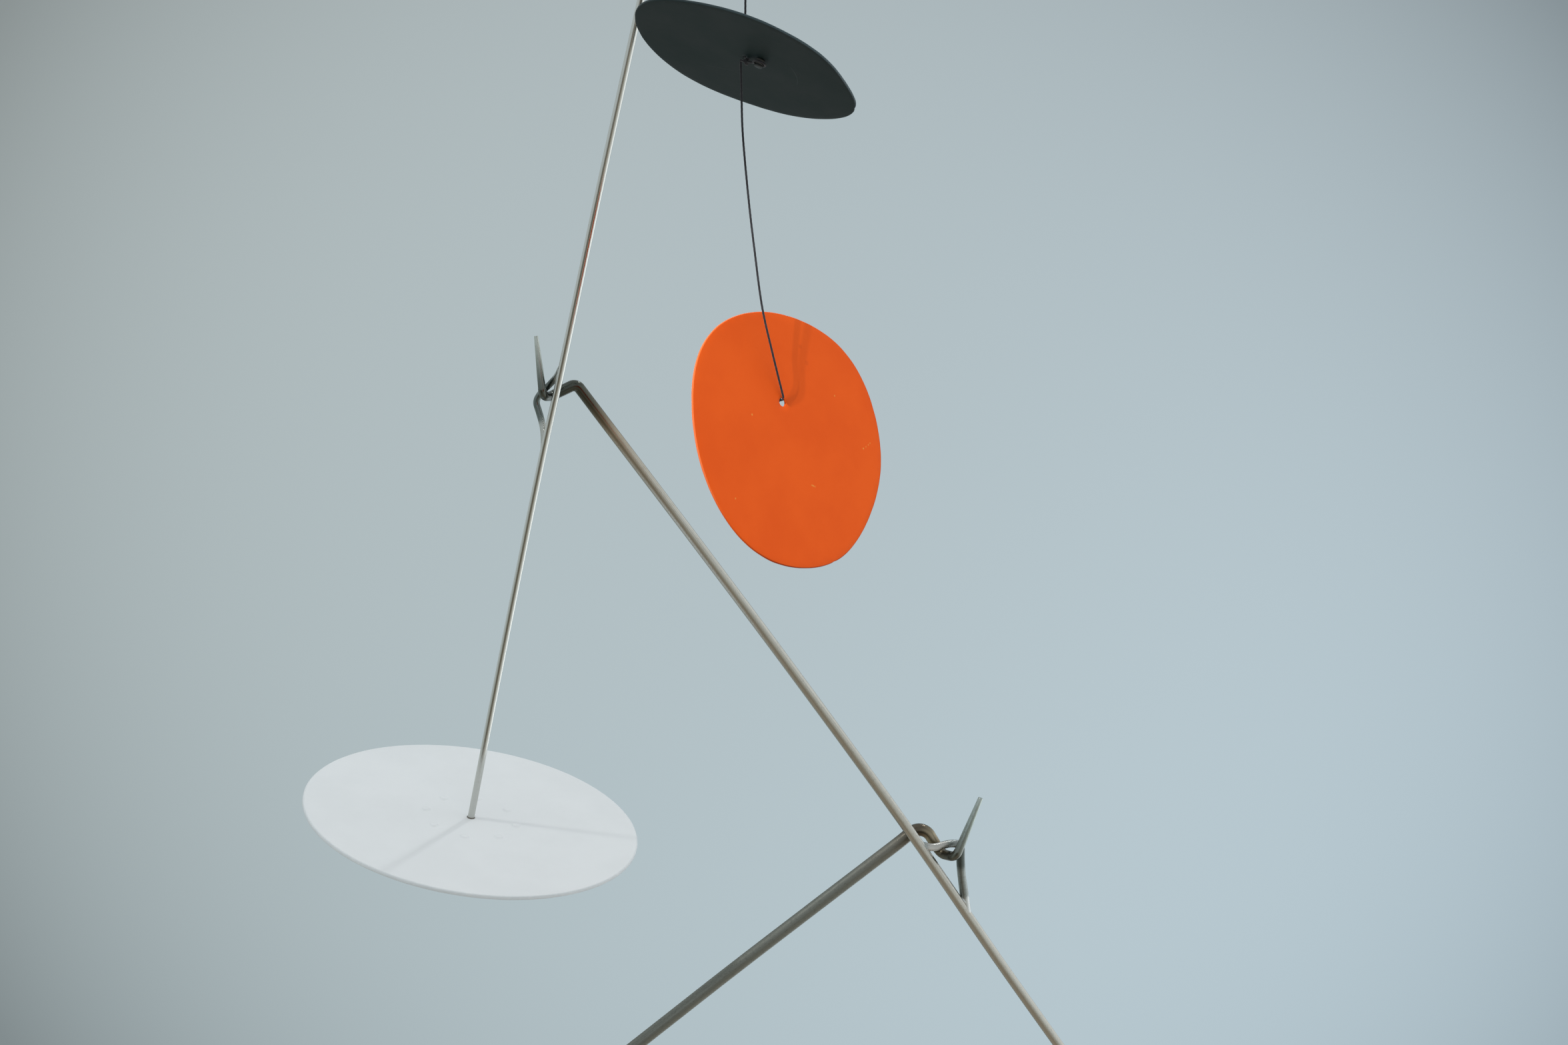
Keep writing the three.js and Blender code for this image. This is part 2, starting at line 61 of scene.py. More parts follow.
# ------------------------------------------------------------------ node helper
class Nodes:
    def __init__(self, tree):
        self.t = tree

    def put(self, socket, value):
        if isinstance(value, bpy.types.NodeSocket):
            self.t.links.new(value, socket)
        elif value is not None:
            if socket.type == "RGBA" and len(value) == 3:
                value = (*value, 1.0)
            socket.default_value = value

    def new(self, kind, **props):
        n = self.t.nodes.new(kind)
        for k, v in props.items():
            setattr(n, k, v)
        return n

    def math(self, op, a, b=None, c=None, clamp=False):
        n = self.new("ShaderNodeMath", operation=op, use_clamp=clamp)
        for i, v in enumerate((a, b, c)):
            if v is not None:
                self.put(n.inputs[i], v)
        return n.outputs[0]

    def vec(self, op, a, b=None, scale=None):
        n = self.new("ShaderNodeVectorMath", operation=op)
        self.put(n.inputs[0], a)
        if b is not None:
            self.put(n.inputs[1], b)
        if scale is not None:
            self.put(n.inputs["Scale"], scale)
        return n.outputs["Value" if op in ("DOT_PRODUCT", "LENGTH", "DISTANCE") else "Vector"]

    def attr(self, name):
        n = self.new("ShaderNodeAttribute", attribute_type="GEOMETRY", attribute_name=name)
        return n.outputs["Vector"]

    def place(self):
        return self.new("ShaderNodeTexCoord").outputs["Object"]

    def sep(self, v):
        n = self.new("ShaderNodeSeparateXYZ")
        self.put(n.inputs[0], v)
        return n.outputs

    def comb(self, x=0.0, y=0.0, z=0.0):
        n = self.new("ShaderNodeCombineXYZ")
        for i, v in enumerate((x, y, z)):
            self.put(n.inputs[i], v)
        return n.outputs[0]

    def noise(self, v, scale=1.0, detail=3.0, rough=0.55, distortion=0.0):
        n = self.new("ShaderNodeTexNoise")
        self.put(n.inputs["Vector"], v)
        n.inputs["Scale"].default_value = scale
        n.inputs["Detail"].default_value = detail
        n.inputs["Roughness"].default_value = rough
        n.inputs["Distortion"].default_value = distortion
        return n.outputs["Fac"]

    def span(self, v, a, b, c=0.0, d=1.0, smooth=True):
        n = self.new("ShaderNodeMapRange", interpolation_type="SMOOTHSTEP" if smooth else "LINEAR")
        self.put(n.inputs[0], v)
        for i, x in enumerate((a, b, c, d)):
            self.put(n.inputs[i + 1], x)
        return n.outputs[0]

    def mix(self, f, a, b, blend="MIX"):
        n = self.new("ShaderNodeMix", data_type="RGBA", blend_type=blend)
        self.put(n.inputs["Factor"], f)
        sock = [s for s in n.inputs if s.type == "RGBA"]
        self.put(sock[0], a)
        self.put(sock[1], b)
        return [s for s in n.outputs if s.type == "RGBA"][0]

    def ramp(self, f, stops, interp="LINEAR"):
        n = self.new("ShaderNodeValToRGB")
        self.put(n.inputs[0], f)
        cr = n.color_ramp
        cr.interpolation = interp
        while len(cr.elements) < len(stops):
            cr.elements.new(0.5)
        for e, (p, c) in zip(cr.elements, stops):
            e.position = p
            e.color = (*c, 1.0) if len(c) == 3 else c
        return n.outputs[0]

    def bump(self, height, strength=0.3, distance=0.0001, normal=None):
        n = self.new("ShaderNodeBump")
        n.inputs["Strength"].default_value = strength
        n.inputs["Distance"].default_value = distance
        self.put(n.inputs["Height"], height)
        if normal is not None:
            self.put(n.inputs["Normal"], normal)
        return n.outputs[0]


def material(name):
    m = bpy.data.materials.new(name)
    m.use_nodes = True
    m.node_tree.nodes.clear()
    N = Nodes(m.node_tree)
    out = N.new("ShaderNodeOutputMaterial")
    b = N.new("ShaderNodeBsdfPrincipled")
    N.put(out.inputs[0], b.outputs[0])
    return m, N, b


def set_input(b, name, value):
    b.inputs[name].default_value = value


# ------------------------------------------------------------------ geometry helpers
def V(p):
    return Vector(p)


def down(p):
    """A point of the CAD's own numbers, in mm, as a row-frame point in mm."""
    return Vector((p[0], p[1], p[2] + DATUM))


def add_attr(mesh, name, values):
    a = mesh.attributes.new(name, "FLOAT_VECTOR", "POINT")
    flat = []
    for v in values:
        flat.extend(v)
    a.data.foreach_set("vector", flat)


def make(name, verts, faces, mat, attr=None, smooth=True, angle=40.0):
    """verts in mm of the row frame."""
    me = bpy.data.meshes.new(name)
    me.from_pydata([(v[0] * MM, v[1] * MM, v[2] * MM) for v in verts], [], faces)
    if attr:
        add_attr(me, attr[0], attr[1])
    me.validate()
    me.materials.append(mat)
    ob = bpy.data.objects.new(name, me)
    scene.collection.objects.link(ob)
    if smooth:
        me.shade_smooth()
        me.set_sharp_from_angle(angle=math.radians(angle))
    me.update()
    return ob


def stations(corners, arc_step=5.0, run_step=8.0):
    """corners: (x, y, z, radius[, bend]) in mm. Returns [(point, radius, distance along)]. A corner with no bend is eased over nearly half of its shorter leg."""
    pts = [V(c[:3]) for c in corners]
    rad = [c[3] for c in corners]
    out = [(pts[0].copy(), rad[0])]

    def add(p, r):
        last = out[-1][0]
        gap = (p - last).length
        if gap < 1e-3:
            return
        k = int(gap // run_step)
        r0 = out[-1][1]
        for i in range(1, k + 1):
            t = i / (k + 1)
            out.append((last.lerp(p, t), r0 + (r - r0) * t))
        out.append((p, r))

    for i in range(1, len(pts) - 1):
        a, b, c = pts[i - 1], pts[i], pts[i + 1]
        d1, d2 = b - a, c - b
        l1, l2 = d1.length, d2.length
        d1.normalize(); d2.normalize()
        turn = d1.angle(d2)
        if turn < 1e-4:
            add(b.copy(), rad[i]); continue
        bend = corners[i][4] if len(corners[i]) > 4 else 0.46 * min(l1, l2) / math.tan(turn / 2)
        cut = bend * math.tan(turn / 2)
        cut = min(cut, 0.49 * l1 if i > 1 else 0.98 * l1, 0.49 * l2 if i < len(pts) - 2 else 0.98 * l2) if len(corners[i]) <= 4 else cut
        back = b - d1 * cut
        side = (d2 - d1 * d1.dot(d2)).normalized()
        centre = back + side * bend
        k = max(4, int(round(math.degrees(turn) / arc_step)))
        r_in = rad[i] + (rad[i - 1] - rad[i]) * cut / l1
        r_out = rad[i] + (rad[i + 1] - rad[i]) * cut / l2
        for j in range(k + 1):
            t = turn * j / k
            p = centre - side * (bend * math.cos(t)) + d1 * (bend * math.sin(t))
            w = j / k
            r = r_in + (rad[i] - r_in) * 2 * w if w < 0.5 else rad[i] + (r_out - rad[i]) * (2 * w - 1)
            add(p, r)
    add(pts[-1].copy(), rad[-1])
    # smooth the radii so that no step shows
    rs = [r for _, r in out]
    for _ in range(3):
        rs = [rs[0]] + [(rs[i - 1] + 2 * rs[i] + rs[i + 1]) / 4 for i in range(1, len(rs) - 1)] + [rs[-1]]
    s, res = 0.0, []
    for i, (p, _) in enumerate(out):
        if i:
            s += (p - out[i - 1][0]).length
        res.append((p, rs[i], s))
    return res


def frames(points):
    """Parallel-transported side axes along a line of points."""
    n = len(points)
    tan = []
    for i in range(n):
        d = Vector()
        if i:
            d += (points[i] - points[i - 1]).normalized()
        if i < n - 1:
            d += (points[i + 1] - points[i]).normalized()
        tan.append(d.normalized())
    ref = Vector((0, 1, 0)) if abs(tan[0].y) < 0.9 else Vector((1, 0, 0))
    u = (ref - tan[0] * ref.dot(tan[0])).normalized()
    res = []
    for i in range(n):
        u = (u - tan[i] * u.dot(tan[i])).normalized()
        res.append((tan[i], u, tan[i].cross(u)))
    return res


def tube(name, st, mat, sides=28, edge=0.35, start="cut", end="cut", shape=None, wobble=0.0, seed=0.0):
    """A round bar along stations. shape(s, angle, r) may change the radius. Ends: cut (a small eased edge), or else
    flat.
    """
    pts = [p for p, _, _ in st]
    fr = frames(pts)
    rings = []
    for (p, r, s), (t, u, v) in zip(st, fr):
        rings.append((p, r, s, t, u, v))
    if start == "cut":
        p, r, s, t, u, v = rings[0]
        e = min(edge, r * 0.5)
        rings[0] = (p + t * e * 0.0, r - e * 0.75, s, t, u, v)
        rings.insert(1, (p + t * e * 0.3, r - e * 0.25, s + e * 0.3, t, u, v))
        rings.insert(2, (p + t * e, r, s + e, t, u, v))
    if end == "cut":
        p, r, s, t, u, v = rings[-1]
        e = min(edge, r * 0.5)
        rings[-1] = (p - t * e, r, s - e, t, u, v)
        rings.append((p - t * e * 0.3, r - e * 0.25, s - e * 0.3, t, u, v))
        rings.append((p, r - e * 0.75, s, t, u, v))
    verts, run, faces = [], [], []
    for p, r, s, t, u, v in rings:
        for i in range(sides):
            a = 2 * math.pi * i / sides
            rr = r
            if shape:
                rr = shape(s, a, r)
            if wobble:
                q = Vector((math.cos(a) * 0.8, math.sin(a) * 0.8, s * 0.06 + seed))
                rr += wobble * (noise.noise(q * 1.3) + 0.5 * noise.noise(q * 4.0))
            verts.append(p + u * (rr * math.cos(a)) + v * (rr * math.sin(a)))
            run.append((math.cos(a) * r, math.sin(a) * r, s))
    k = len(rings)
    for j in range(k - 1):
        for i in range(sides):
            i2 = (i + 1) % sides
            faces.append((j * sides + i, j * sides + i2, (j + 1) * sides + i2, (j + 1) * sides + i))
    faces.append(tuple(reversed(range(sides))))
    faces.append(tuple((k - 1) * sides + i for i in range(sides)))
    return make(name, verts, faces, mat, ("run", run))


def axes_of(n):
    n = V(n).normalized()
    u = (Vector((1, 0, 0)) - n * n.x).normalized()
    return u, n.cross(u), n


class Disc:
    def __init__(self, centre, normal):
        self.c = down(centre)
        self.u, self.v, self.n = axes_of(normal)

    def at(self, x, y, z=0.0):
        return self.c + self.u * x + self.v * y + self.n * z


def outline(radius, waves, count):
    pts = []
    for i in range(count):
        a = 2 * math.pi * i / count
        r = 1.0
        for k, c, s in waves:
            r += c * math.cos(k * a) + s * math.sin(k * a)
        pts.append((radius * r * math.cos(a), radius * r * math.sin(a)))
    return pts


def inside(poly, x, y):
    hit = False
    n = len(poly)
    j = n - 1
    for i in range(n):
        xi, yi = poly[i]
        xj, yj = poly[j]
        if (yi > y) != (yj > y) and x < (xj - xi) * (y - yi) / (yj - yi) + xi:
            hit = not hit
        j = i
    return hit


def sheet(name, disc, edge, top, bottom, mat, holes=(), height=None, grid=4.0, extra=(), rim=0.4, rim_noise=0.0, hole_rim=0.25, seed=0.0):
    """A sheet-metal disc: edge is its outline (mm, in its own axes), top and bottom its faces' heights, height(x, y) the sheet's own gentle unevenness. Its rims are rounded over."""
    t = top - bottom
    rim = min(rim, t * 0.48)
    n = len(edge)
    # outward normals of the outline
    nor = []
    for i in range(n):
        a, b = edge[i - 1], edge[(i + 1) % n]
        d = Vector((b[0] - a[0], b[1] - a[1])).normalized()
        nor.append(Vector((d.y, -d.x)))
    hz = height or (lambda x, y: 0.0)
    verts, own, faces = [], [], []

    def put(x, y, z):
        verts.append(disc.at(x, y, z + hz(x, y)))
        own.append((x, y, z))
        return len(verts) - 1

    arc = [(rim * (1 - math.sin(math.radians(a))), rim * (1 - math.cos(math.radians(a)))) for a in (0, 22.5, 45, 67.5, 90)]
    profile = [(ins, top - dz) for ins, dz in arc] + [(ins, bottom + dz) for ins, dz in reversed(arc)]

    def ring_pts(i_profile):
        ins, z = profile[i_profile]
        res = []
        for i in range(n):
            w = 0.0
            if rim_noise:
                a = 2 * math.pi * i / n
                w = rim_noise * noise.noise(Vector((math.cos(a) * 9, math.sin(a) * 9, z * 0.8 + seed)))
            res.append((edge[i][0] - nor[i].x * (ins + w), edge[i][1] - nor[i].y * (ins + w), z))
        return res

    rings = []
    for k in range(len(profile)):
        rings.append([put(*p) for p in ring_pts(k)])
    for k in range(len(profile) - 1):
        for i in range(n):
            i2 = (i + 1) % n
            faces.append((rings[k][i2], rings[k][i], rings[k + 1][i], rings[k + 1][i2]))
    hole_rings = []
    for hx, hy, hr, *more in holes:
        chamfer = more[0] if more else hole_rim
        m = max(16, int(hr * 10))
        hp = [(0.0 - chamfer, top), (0.0 - chamfer * 0.3, top - chamfer * 0.3), (0.0, top - chamfer), (0.0, bottom + hole_rim), (-hole_rim * 0.3, bottom + hole_rim * 0.3), (-hole_rim, bottom)]
        rr = []
        for ins, z in hp:
            rr.append([put(hx + (hr - ins) * math.cos(2 * math.pi * i / m), hy + (hr - ins) * math.sin(2 * math.pi * i / m), z) for i in range(m)])
        for k in range(len(hp) - 1):
            for i in range(m):
                i2 = (i + 1) % m
                faces.append((rr[k][i], rr[k][i2], rr[k + 1][i2], rr[k + 1][i]))
        hole_rings.append((hx, hy, hr, rr, m))

    # faces: constrained triangulation of outline, holes and inner points
    def cap(loop, hole_loops, z, flip):
        pts = [own[i][:2] for i in loop]
        ids = list(loop)
        edges = [(i, (i + 1) % len(loop)) for i in range(len(loop))]
        for (hx, hy, hr, rr, m), hl in zip(hole_rings, hole_loops):
            base = len(pts)
            pts += [own[i][:2] for i in hl]
            ids += hl
            edges += [(base + i, base + (i + 1) % m) for i in range(m)]
        poly = [own[i][:2] for i in loop]
        xs = [p[0] for p in poly]; ys = [p[1] for p in poly]
        cand = []
        rows = int((max(ys) - min(ys)) / (grid * 0.866)) + 1
        for r in range(rows + 1):
            y = min(ys) + r * grid * 0.866
            off = grid / 2 if r % 2 else 0.0
            x = min(xs) + off
            while x < max(xs):
                cand.append((x, y)); x += grid
        keep = list(extra)
        for x, y in cand:
            if any((x - ex) ** 2 + (y - ey) ** 2 < (grid * 0.45) ** 2 for ex, ey in extra):
                continue
            keep.append((x, y))
        inner = []
        for x, y in keep:
            if not inside(poly, x, y):
                continue
            if min((x - px) ** 2 + (y - py) ** 2 for px, py in poly) < (grid * 0.4) ** 2:
                continue
            if any((x - hx) ** 2 + (y - hy) ** 2 < (hr + 1.0) ** 2 for hx, hy, hr, _, _ in hole_rings):
                continue
            inner.append((x, y))
        base = len(pts)
        pts += inner
        ids += [put(x, y, z) for x, y in inner]
        res = delaunay_2d_cdt([Vector(p) for p in pts], edges, [], 0, 1e-7)
        ov, of, orig = res[0], res[2], res[3]
        for f in of:
            cx = sum(ov[i][0] for i in f) / len(f); cy = sum(ov[i][1] for i in f) / len(f)
            if not inside(poly, cx, cy):
                continue
            if any(inside([own[i][:2] for i in hl], cx, cy) for hl in hole_loops):
                continue
            g = [ids[orig[i][0]] for i in f]
            faces.append(tuple(reversed(g)) if flip else tuple(g))

    cap(rings[0], [h[3][0] for h in hole_rings], top, False)
    cap(rings[-1], [h[3][-1] for h in hole_rings], bottom, True)
    ob = make(name, verts, faces, mat, ("own", own))
    return ob


def lathe(name, disc, profile, mat, segments=96):
    """profile: [(radius, height)] in the disc's own axes, closed at both ends on the axis."""
    verts, own, faces = [], [], []
    first = len(verts)
    verts.append(disc.at(0, 0, profile[0][1])); own.append((0, 0, profile[0][1]))
    rings = []
    for r, z in profile[1:-1]:
        ring = []
        for i in range(segments):
            a = 2 * math.pi * i / segments
            x, y = r * math.cos(a), r * math.sin(a)
            verts.append(disc.at(x, y, z)); own.append((x, y, z)); ring.append(len(verts) - 1)
        rings.append(ring)
    verts.append(disc.at(0, 0, profile[-1][1])); own.append((0, 0, profile[-1][1]))
    last = len(verts) - 1
    for i in range(segments):
        i2 = (i + 1) % segments
        faces.append((first, rings[0][i2], rings[0][i]))
        faces.append((last, rings[-1][i], rings[-1][i2]))
    for a, b in zip(rings, rings[1:]):
        for i in range(segments):
            i2 = (i + 1) % segments
            faces.append((a[i], a[i2], b[i2], b[i]))
    return make(name, verts, faces, mat, ("own", own), angle=35)


def rounded(points, r=0.8, steps=4):
    """Round the inner corners of a profile."""
    out = [points[0]]
    for i in range(1, len(points) - 1):
        a, b, c = Vector(points[i - 1]), Vector(points[i]), Vector(points[i + 1])
        d1, d2 = (a - b), (c - b)
        k = min(r, d1.length * 0.48, d2.length * 0.48)
        p, q = b + d1.normalized() * k, b + d2.normalized() * k
        for j in range(steps + 1):
            t = j / steps
            out.append(tuple(p * (1 - t) ** 2 + b * 2 * t * (1 - t) + q * t ** 2))
    out.append(points[-1])
    return out


def blob(centre, radii, rot=None, seg=20, seed=0.0, rough=0.0):
    """An uneven rounded lump: (verts, faces)."""
    verts, faces = [], []
    rings = seg // 2
    for j in range(rings + 1):
        ph = math.pi * j / rings
        for i in range(seg):
            th = 2 * math.pi * i / seg
            d = Vector((math.sin(ph) * math.cos(th), math.sin(ph) * math.sin(th), math.cos(ph)))
            k = 1 + rough * noise.noise(d * 1.7 + Vector((seed, 0, 0)))
            p = Vector((d.x * radii[0], d.y * radii[1], d.z * radii[2])) * k
            if rot:
                p = rot @ p
            verts.append(centre + p)
    for j in range(rings):
        for i in range(seg):
            i2 = (i + 1) % seg
            faces.append((j * seg + i, j * seg + i2, (j + 1) * seg + i2, (j + 1) * seg + i))
    return verts, faces


def welded(name, parts, mat, voxel=0.4, smooth=6):
    """Joins (verts, faces) lumps given in mm into one skin with filleted joins."""
    verts, faces = [], []
    for v, f in parts:
        base = len(verts)
        verts += v
        faces += [tuple(base + i for i in q) for q in f]
    ob = make(name, verts, faces, mat, smooth=False)
    m = ob.modifiers.new("skin", "REMESH")
    m.mode = "VOXEL"
    m.voxel_size = voxel * MM
    m.use_smooth_shade = True
    s = ob.modifiers.new("ease", "SMOOTH")
    s.iterations = smooth
    s.factor = 0.5
    dg = bpy.context.evaluated_depsgraph_get()
    me = bpy.data.meshes.new_from_object(ob.evaluated_get(dg))
    me.name = name
    ob.modifiers.clear()
    old = ob.data
    ob.data = me
    bpy.data.meshes.remove(old)
    if not me.materials:
        me.materials.append(mat)
    me.shade_smooth()
    return ob


def tube_part(st, sides=20):
    pts = [p for p, _, _ in st]
    fr = frames(pts)
    verts, faces = [], []
    for (p, r, s), (t, u, v) in zip(st, fr):
        for i in range(sides):
            a = 2 * math.pi * i / sides
            verts.append(p + u * (r * math.cos(a)) + v * (r * math.sin(a)))
    k = len(st)
    for j in range(k - 1):
        for i in range(sides):
            i2 = (i + 1) % sides
            faces.append((j * sides + i, j * sides + i2, (j + 1) * sides + i2, (j + 1) * sides + i))
    faces.append(tuple(reversed(range(sides))))
    faces.append(tuple((k - 1) * sides + i for i in range(sides)))
    return verts, faces


def lowered(corners):
    return [(c[0], c[1], c[2] + DATUM, *c[3:]) for c in corners]


def keep(piece, slot_name, *nodes):
    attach(piece, "root")
    if nodes:
        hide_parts(*nodes)
    return piece


# ------------------------------------------------------------------ the CAD's numbers, in mm
WHITE = Disc((342.6, -100.5, -528.1), (0.2003, -0.2780, 0.9394))
BLACK = Disc((512.0, -339.5, -120.5), (0.3476, 0.1581, 0.9242))
ORANGE = Disc((535.2, -339.5, -307.5), (0.694, -0.697, 0.181))
BLACK_WAVES = [(2, 0.0014, 0.0089), (3, 0.0042, 0.0106), (4, -0.0069, 0.0218), (5, 0.0025, 0.0019), (6, 0.0005, 0.0025), (7, 0.0002, 0.0044)]
ORANGE_WAVES = [(3, -0.0003, 0.0209), (4, -0.0095, -0.0044), (5, 0.0025, 0.0002), (6, 0.0019, -0.0002), (7, 0.0030, -0.0014)]
WHITE_R, WHITE_T, FOOT, DOME_RING = 101.8, 2.6, (-0.5, -3.2), 27.7
BLACK_R, BLACK_T, CORD_HOLE, RIVET = 58.5, 1.3, (1.0, -7.0), (9.2, -11.4)
ORANGE_R, ORANGE_T, ORANGE_HOLE, ORANGE_HOLE_R = 65.8, 1.3, (-5.4, 17.2), 2.25
CORD_TOP = (513.0, -345.9, -58.0)
UPPER_BEND = (457.9, -241.5, -50.0)
arm_dir = Vector((CORD_TOP[0] - UPPER_BEND[0], CORD_TOP[1] - UPPER_BEND[1], 0)).normalized()
CORD_R = 0.57
LOOP_R = 1.475 + GAP + CORD_R + 0.05


def arm_point(s, z):
    return (CORD_TOP[0] + arm_dir.x * s, CORD_TOP[1] + arm_dir.y * s, z)


LOWER_HANG = (0.0, -8.5, -1012.0)
HOOK_R = 8.5
LOWER_Y, LOWER_SLOPE, LOWER_RUN = -6.5, 0.786, 304.0
LOWER_KNEE = (436.5, LOWER_Y, -689.9)


def lower_at(x):
    return (x, LOWER_Y, LOWER_KNEE[2] + LOWER_SLOPE * (x - LOWER_KNEE[0]))


LOWER_END = lower_at(-LOWER_RUN)
LOWER_DIR = Vector((-1, 0, -LOWER_SLOPE)).normalized()
LOWER_ARM = [
    (658.7, -22.0, -527.3, 1.55), (642.9, -19.5, -566.0, 3.1, 6), (634.4, -6.5, -565.7, 3.4, 6), (622.0, -6.5, -545.6, 4.1, 8.5),
    (609.7, -6.5, -556.2, 4.1), (541.7, LOWER_Y, -608.1, 4.1), (496.4, LOWER_Y, -642.8, 4.1), (*LOWER_KNEE, 4.1), (*LOWER_END, 4.1),
]
LOWER_EYE = [
    (26, -7.0, -1011.5, 3.1), (16, -8.5 + 1.2, -1012, 3), (-13, -8.5, -1012, 3, 7), (-15, -8.5 + 1.6, lower_at(-15)[2] + 8.4, 3),
    (-16.5, -6.6, lower_at(-16.5)[2] + 0.5, 3.3),
]
MIDDLE_TURN = (729.7, 54.1, -720.6)
MIDDLE_DIR = (V((851.2, 122.7, -886)) - V(MIDDLE_TURN)).normalized()
MIDDLE_RUN = 217.5
MIDDLE_END = V(MIDDLE_TURN) + MIDDLE_DIR * MIDDLE_RUN
MIDDLE_ARM = [
    (390.2, -179.0, -243.3, 1.2), (393.8, -176.5, -277.8, 2.55, 5), (397.3, -164.5, -276.9, 2.85, 5), (403.0, -164.0, -273.9, 3.2),
    (411.6, -163.0, -269.6, 3.3, 4.2), (425.0, -154.2, -287.9, 3.3), (471.0, -124.3, -350.1, 3.3), (518.8, -92.8, -415.6, 3.3),
    (568.4, -59.4, -484.9, 3.3), (619.4, -24.5, -557.4, 3.3), (672.0, 13.8, -637.1, 3.3), (717.4, 45.5, -702.8, 3.3),
    (*MIDDLE_TURN, 3.3, 60), (*MIDDLE_END, 3.3),
]
MIDDLE_EYE = [
    (619.8, -24.2, -558.0, 2.9), (627.9, -19.5, -560.0, 2.5), (639.6, -13.0, -558.0, 2.5), (646.9, -9.5, -559.0, 2.65, 4.5), (646.8, -8.0, -571.0, 2.8),
    (647.8, -6.0, -581.1, 2.75), (649.1, -4.2, -589.4, 2.9), (651.2, -1.4, -605.5, 3.15),
]
foot = WHITE.at(FOOT[0], FOOT[1], 0.0) - Vector((0, 0, DATUM))
UPPER_ARM = [
    (*foot, 2.05), (363.2, -130.4, -435.6, 2.05), (385.4, -157.8, -340.7, 2.05), (394.2, -168.2, -304.2, 2.05), (402.1, -177.0, -274.0, 2.05),
    (412.5, -189.1, -231.3, 2.05), (427.5, -207.0, -169.6, 2.05), (454.0, -237.2, -65.0, 2.05), (*UPPER_BEND, 2.05, 6), (*arm_point(-14, -50.5), 2.05, 6),
    (*arm_point(-4, CORD_TOP[2]), 1.5, 4), (*arm_point(4, CORD_TOP[2]), 1.45, 4), (*arm_point(6.5, -34), 0.8),
]
UPPER_EYE = [
    (405.2, -180.6, -261.4, 2.2), (402.0, -175.8, -266.2, 1.95), (395.9, -170.5, -271.7, 1.85), (391.2, -167.4, -275.4, 1.9), (388.5, -166.0, -280.2, 2.0),
    (390.9, -165.7, -287.5, 2.0), (392.9, -166.2, -295.0, 1.95), (393.7, -167.5, -304.5, 1.9), (391.9, -165.5, -314.5, 1.6),
]


# ------------------------------------------------------------------ materials
def steel(name, tint, streak=0.35, rough=0.3, mottle=0.25, tint_span=None, bump=0.25, dark=(0.10, 0.085, 0.07), near=None):
    """Drawn round bar with fine marks along it. tint is a ramp of colours along the bar in mm, or one colour; the
    middle and lower bars' ramps hold painted highlight and painted shade besides the steel's own colours.
    """
    m, N, b = material(name)
    run = N.attr("run")
    x, y, s = N.sep(run)
    lines = N.noise(N.comb(N.math("MULTIPLY", x, 4.2), N.math("MULTIPLY", y, 4.2), N.math("MULTIPLY", s, 0.014)), 1.0, 3.0, 0.55)
    bands = N.noise(N.comb(N.math("MULTIPLY", x, 0.55), N.math("MULTIPLY", y, 0.55), N.math("MULTIPLY", s, 0.03)), 1.0, 2.0, 0.5)
    spots = N.noise(N.comb(x, y, N.math("MULTIPLY", s, 0.6)), 0.8, 4.0, 0.6)
    if tint_span:
        lo, hi = tint_span
        place = N.math("ADD", s, N.math("MULTIPLY", N.math("SUBTRACT", bands, 0.5), 8.0))
        f = N.span(place, lo, hi, 0.0, 1.0, smooth=False)
        base = N.ramp(f, [((p - lo) / (hi - lo), c) for p, c in tint])
    else:
        base = N.mix(0.0, tint, tint)
    c = N.mix(N.span(lines, 0.3, 0.7, 0.0, streak), base, dark, "MIX")
    c = N.mix(N.span(spots, 0.50, 0.78, 0.0, mottle), c, dark, "MIX")
    N.put(b.inputs["Base Color"], c)
    set_input(b, "Metallic", 1.0)
    r = N.math("ADD", N.span(lines, 0.25, 0.75, rough - 0.04, rough + 0.05), N.span(spots, 0.45, 0.8, 0.0, 0.08))
    if near:
        r = N.math("ADD", r, N.span(s, near[0], near[1], near[2], 0.0))
    N.put(b.inputs["Roughness"], r)
    N.put(b.inputs["Normal"], N.bump(N.math("ADD", N.math("MULTIPLY", lines, 0.6), N.math("MULTIPLY", spots, 0.5)), bump, 0.00005))
    return m


def weld_steel(name, base, marks, rough=0.3, dark=(0.12, 0.10, 0.085)):
    """Steel with colours laid round given points: marks = [(point mm, radius mm, colour)]. On the upper and middle eyes
    most of them are painted shade and painted highlights; elsewhere they are heat colours.
    """
    m, N, b = material(name)
    p = N.vec("SCALE", N.place(), scale=1000.0)
    grain = N.noise(p, 0.8, 5.0, 0.65)
    fine = N.noise(p, 3.5, 3.0, 0.6)
    c = N.mix(N.span(grain, 0.35, 0.75, 0.0, 0.35), base, dark)
    for (at, radius, colour) in marks:
        d = N.vec("DISTANCE", p, tuple(at))
        d = N.math("ADD", d, N.math("MULTIPLY", N.math("SUBTRACT", grain, 0.5), radius * 0.5))
        c = N.mix(N.span(d, radius * 0.55, radius, 0.85, 0.0), c, colour)
    N.put(b.inputs["Base Color"], c)
    set_input(b, "Metallic", 1.0)
    N.put(b.inputs["Roughness"], N.span(fine, 0.2, 0.8, rough - 0.05, rough + 0.12))
    N.put(b.inputs["Normal"], N.bump(N.math("ADD", grain, fine), 0.2, 0.00015))
    return m


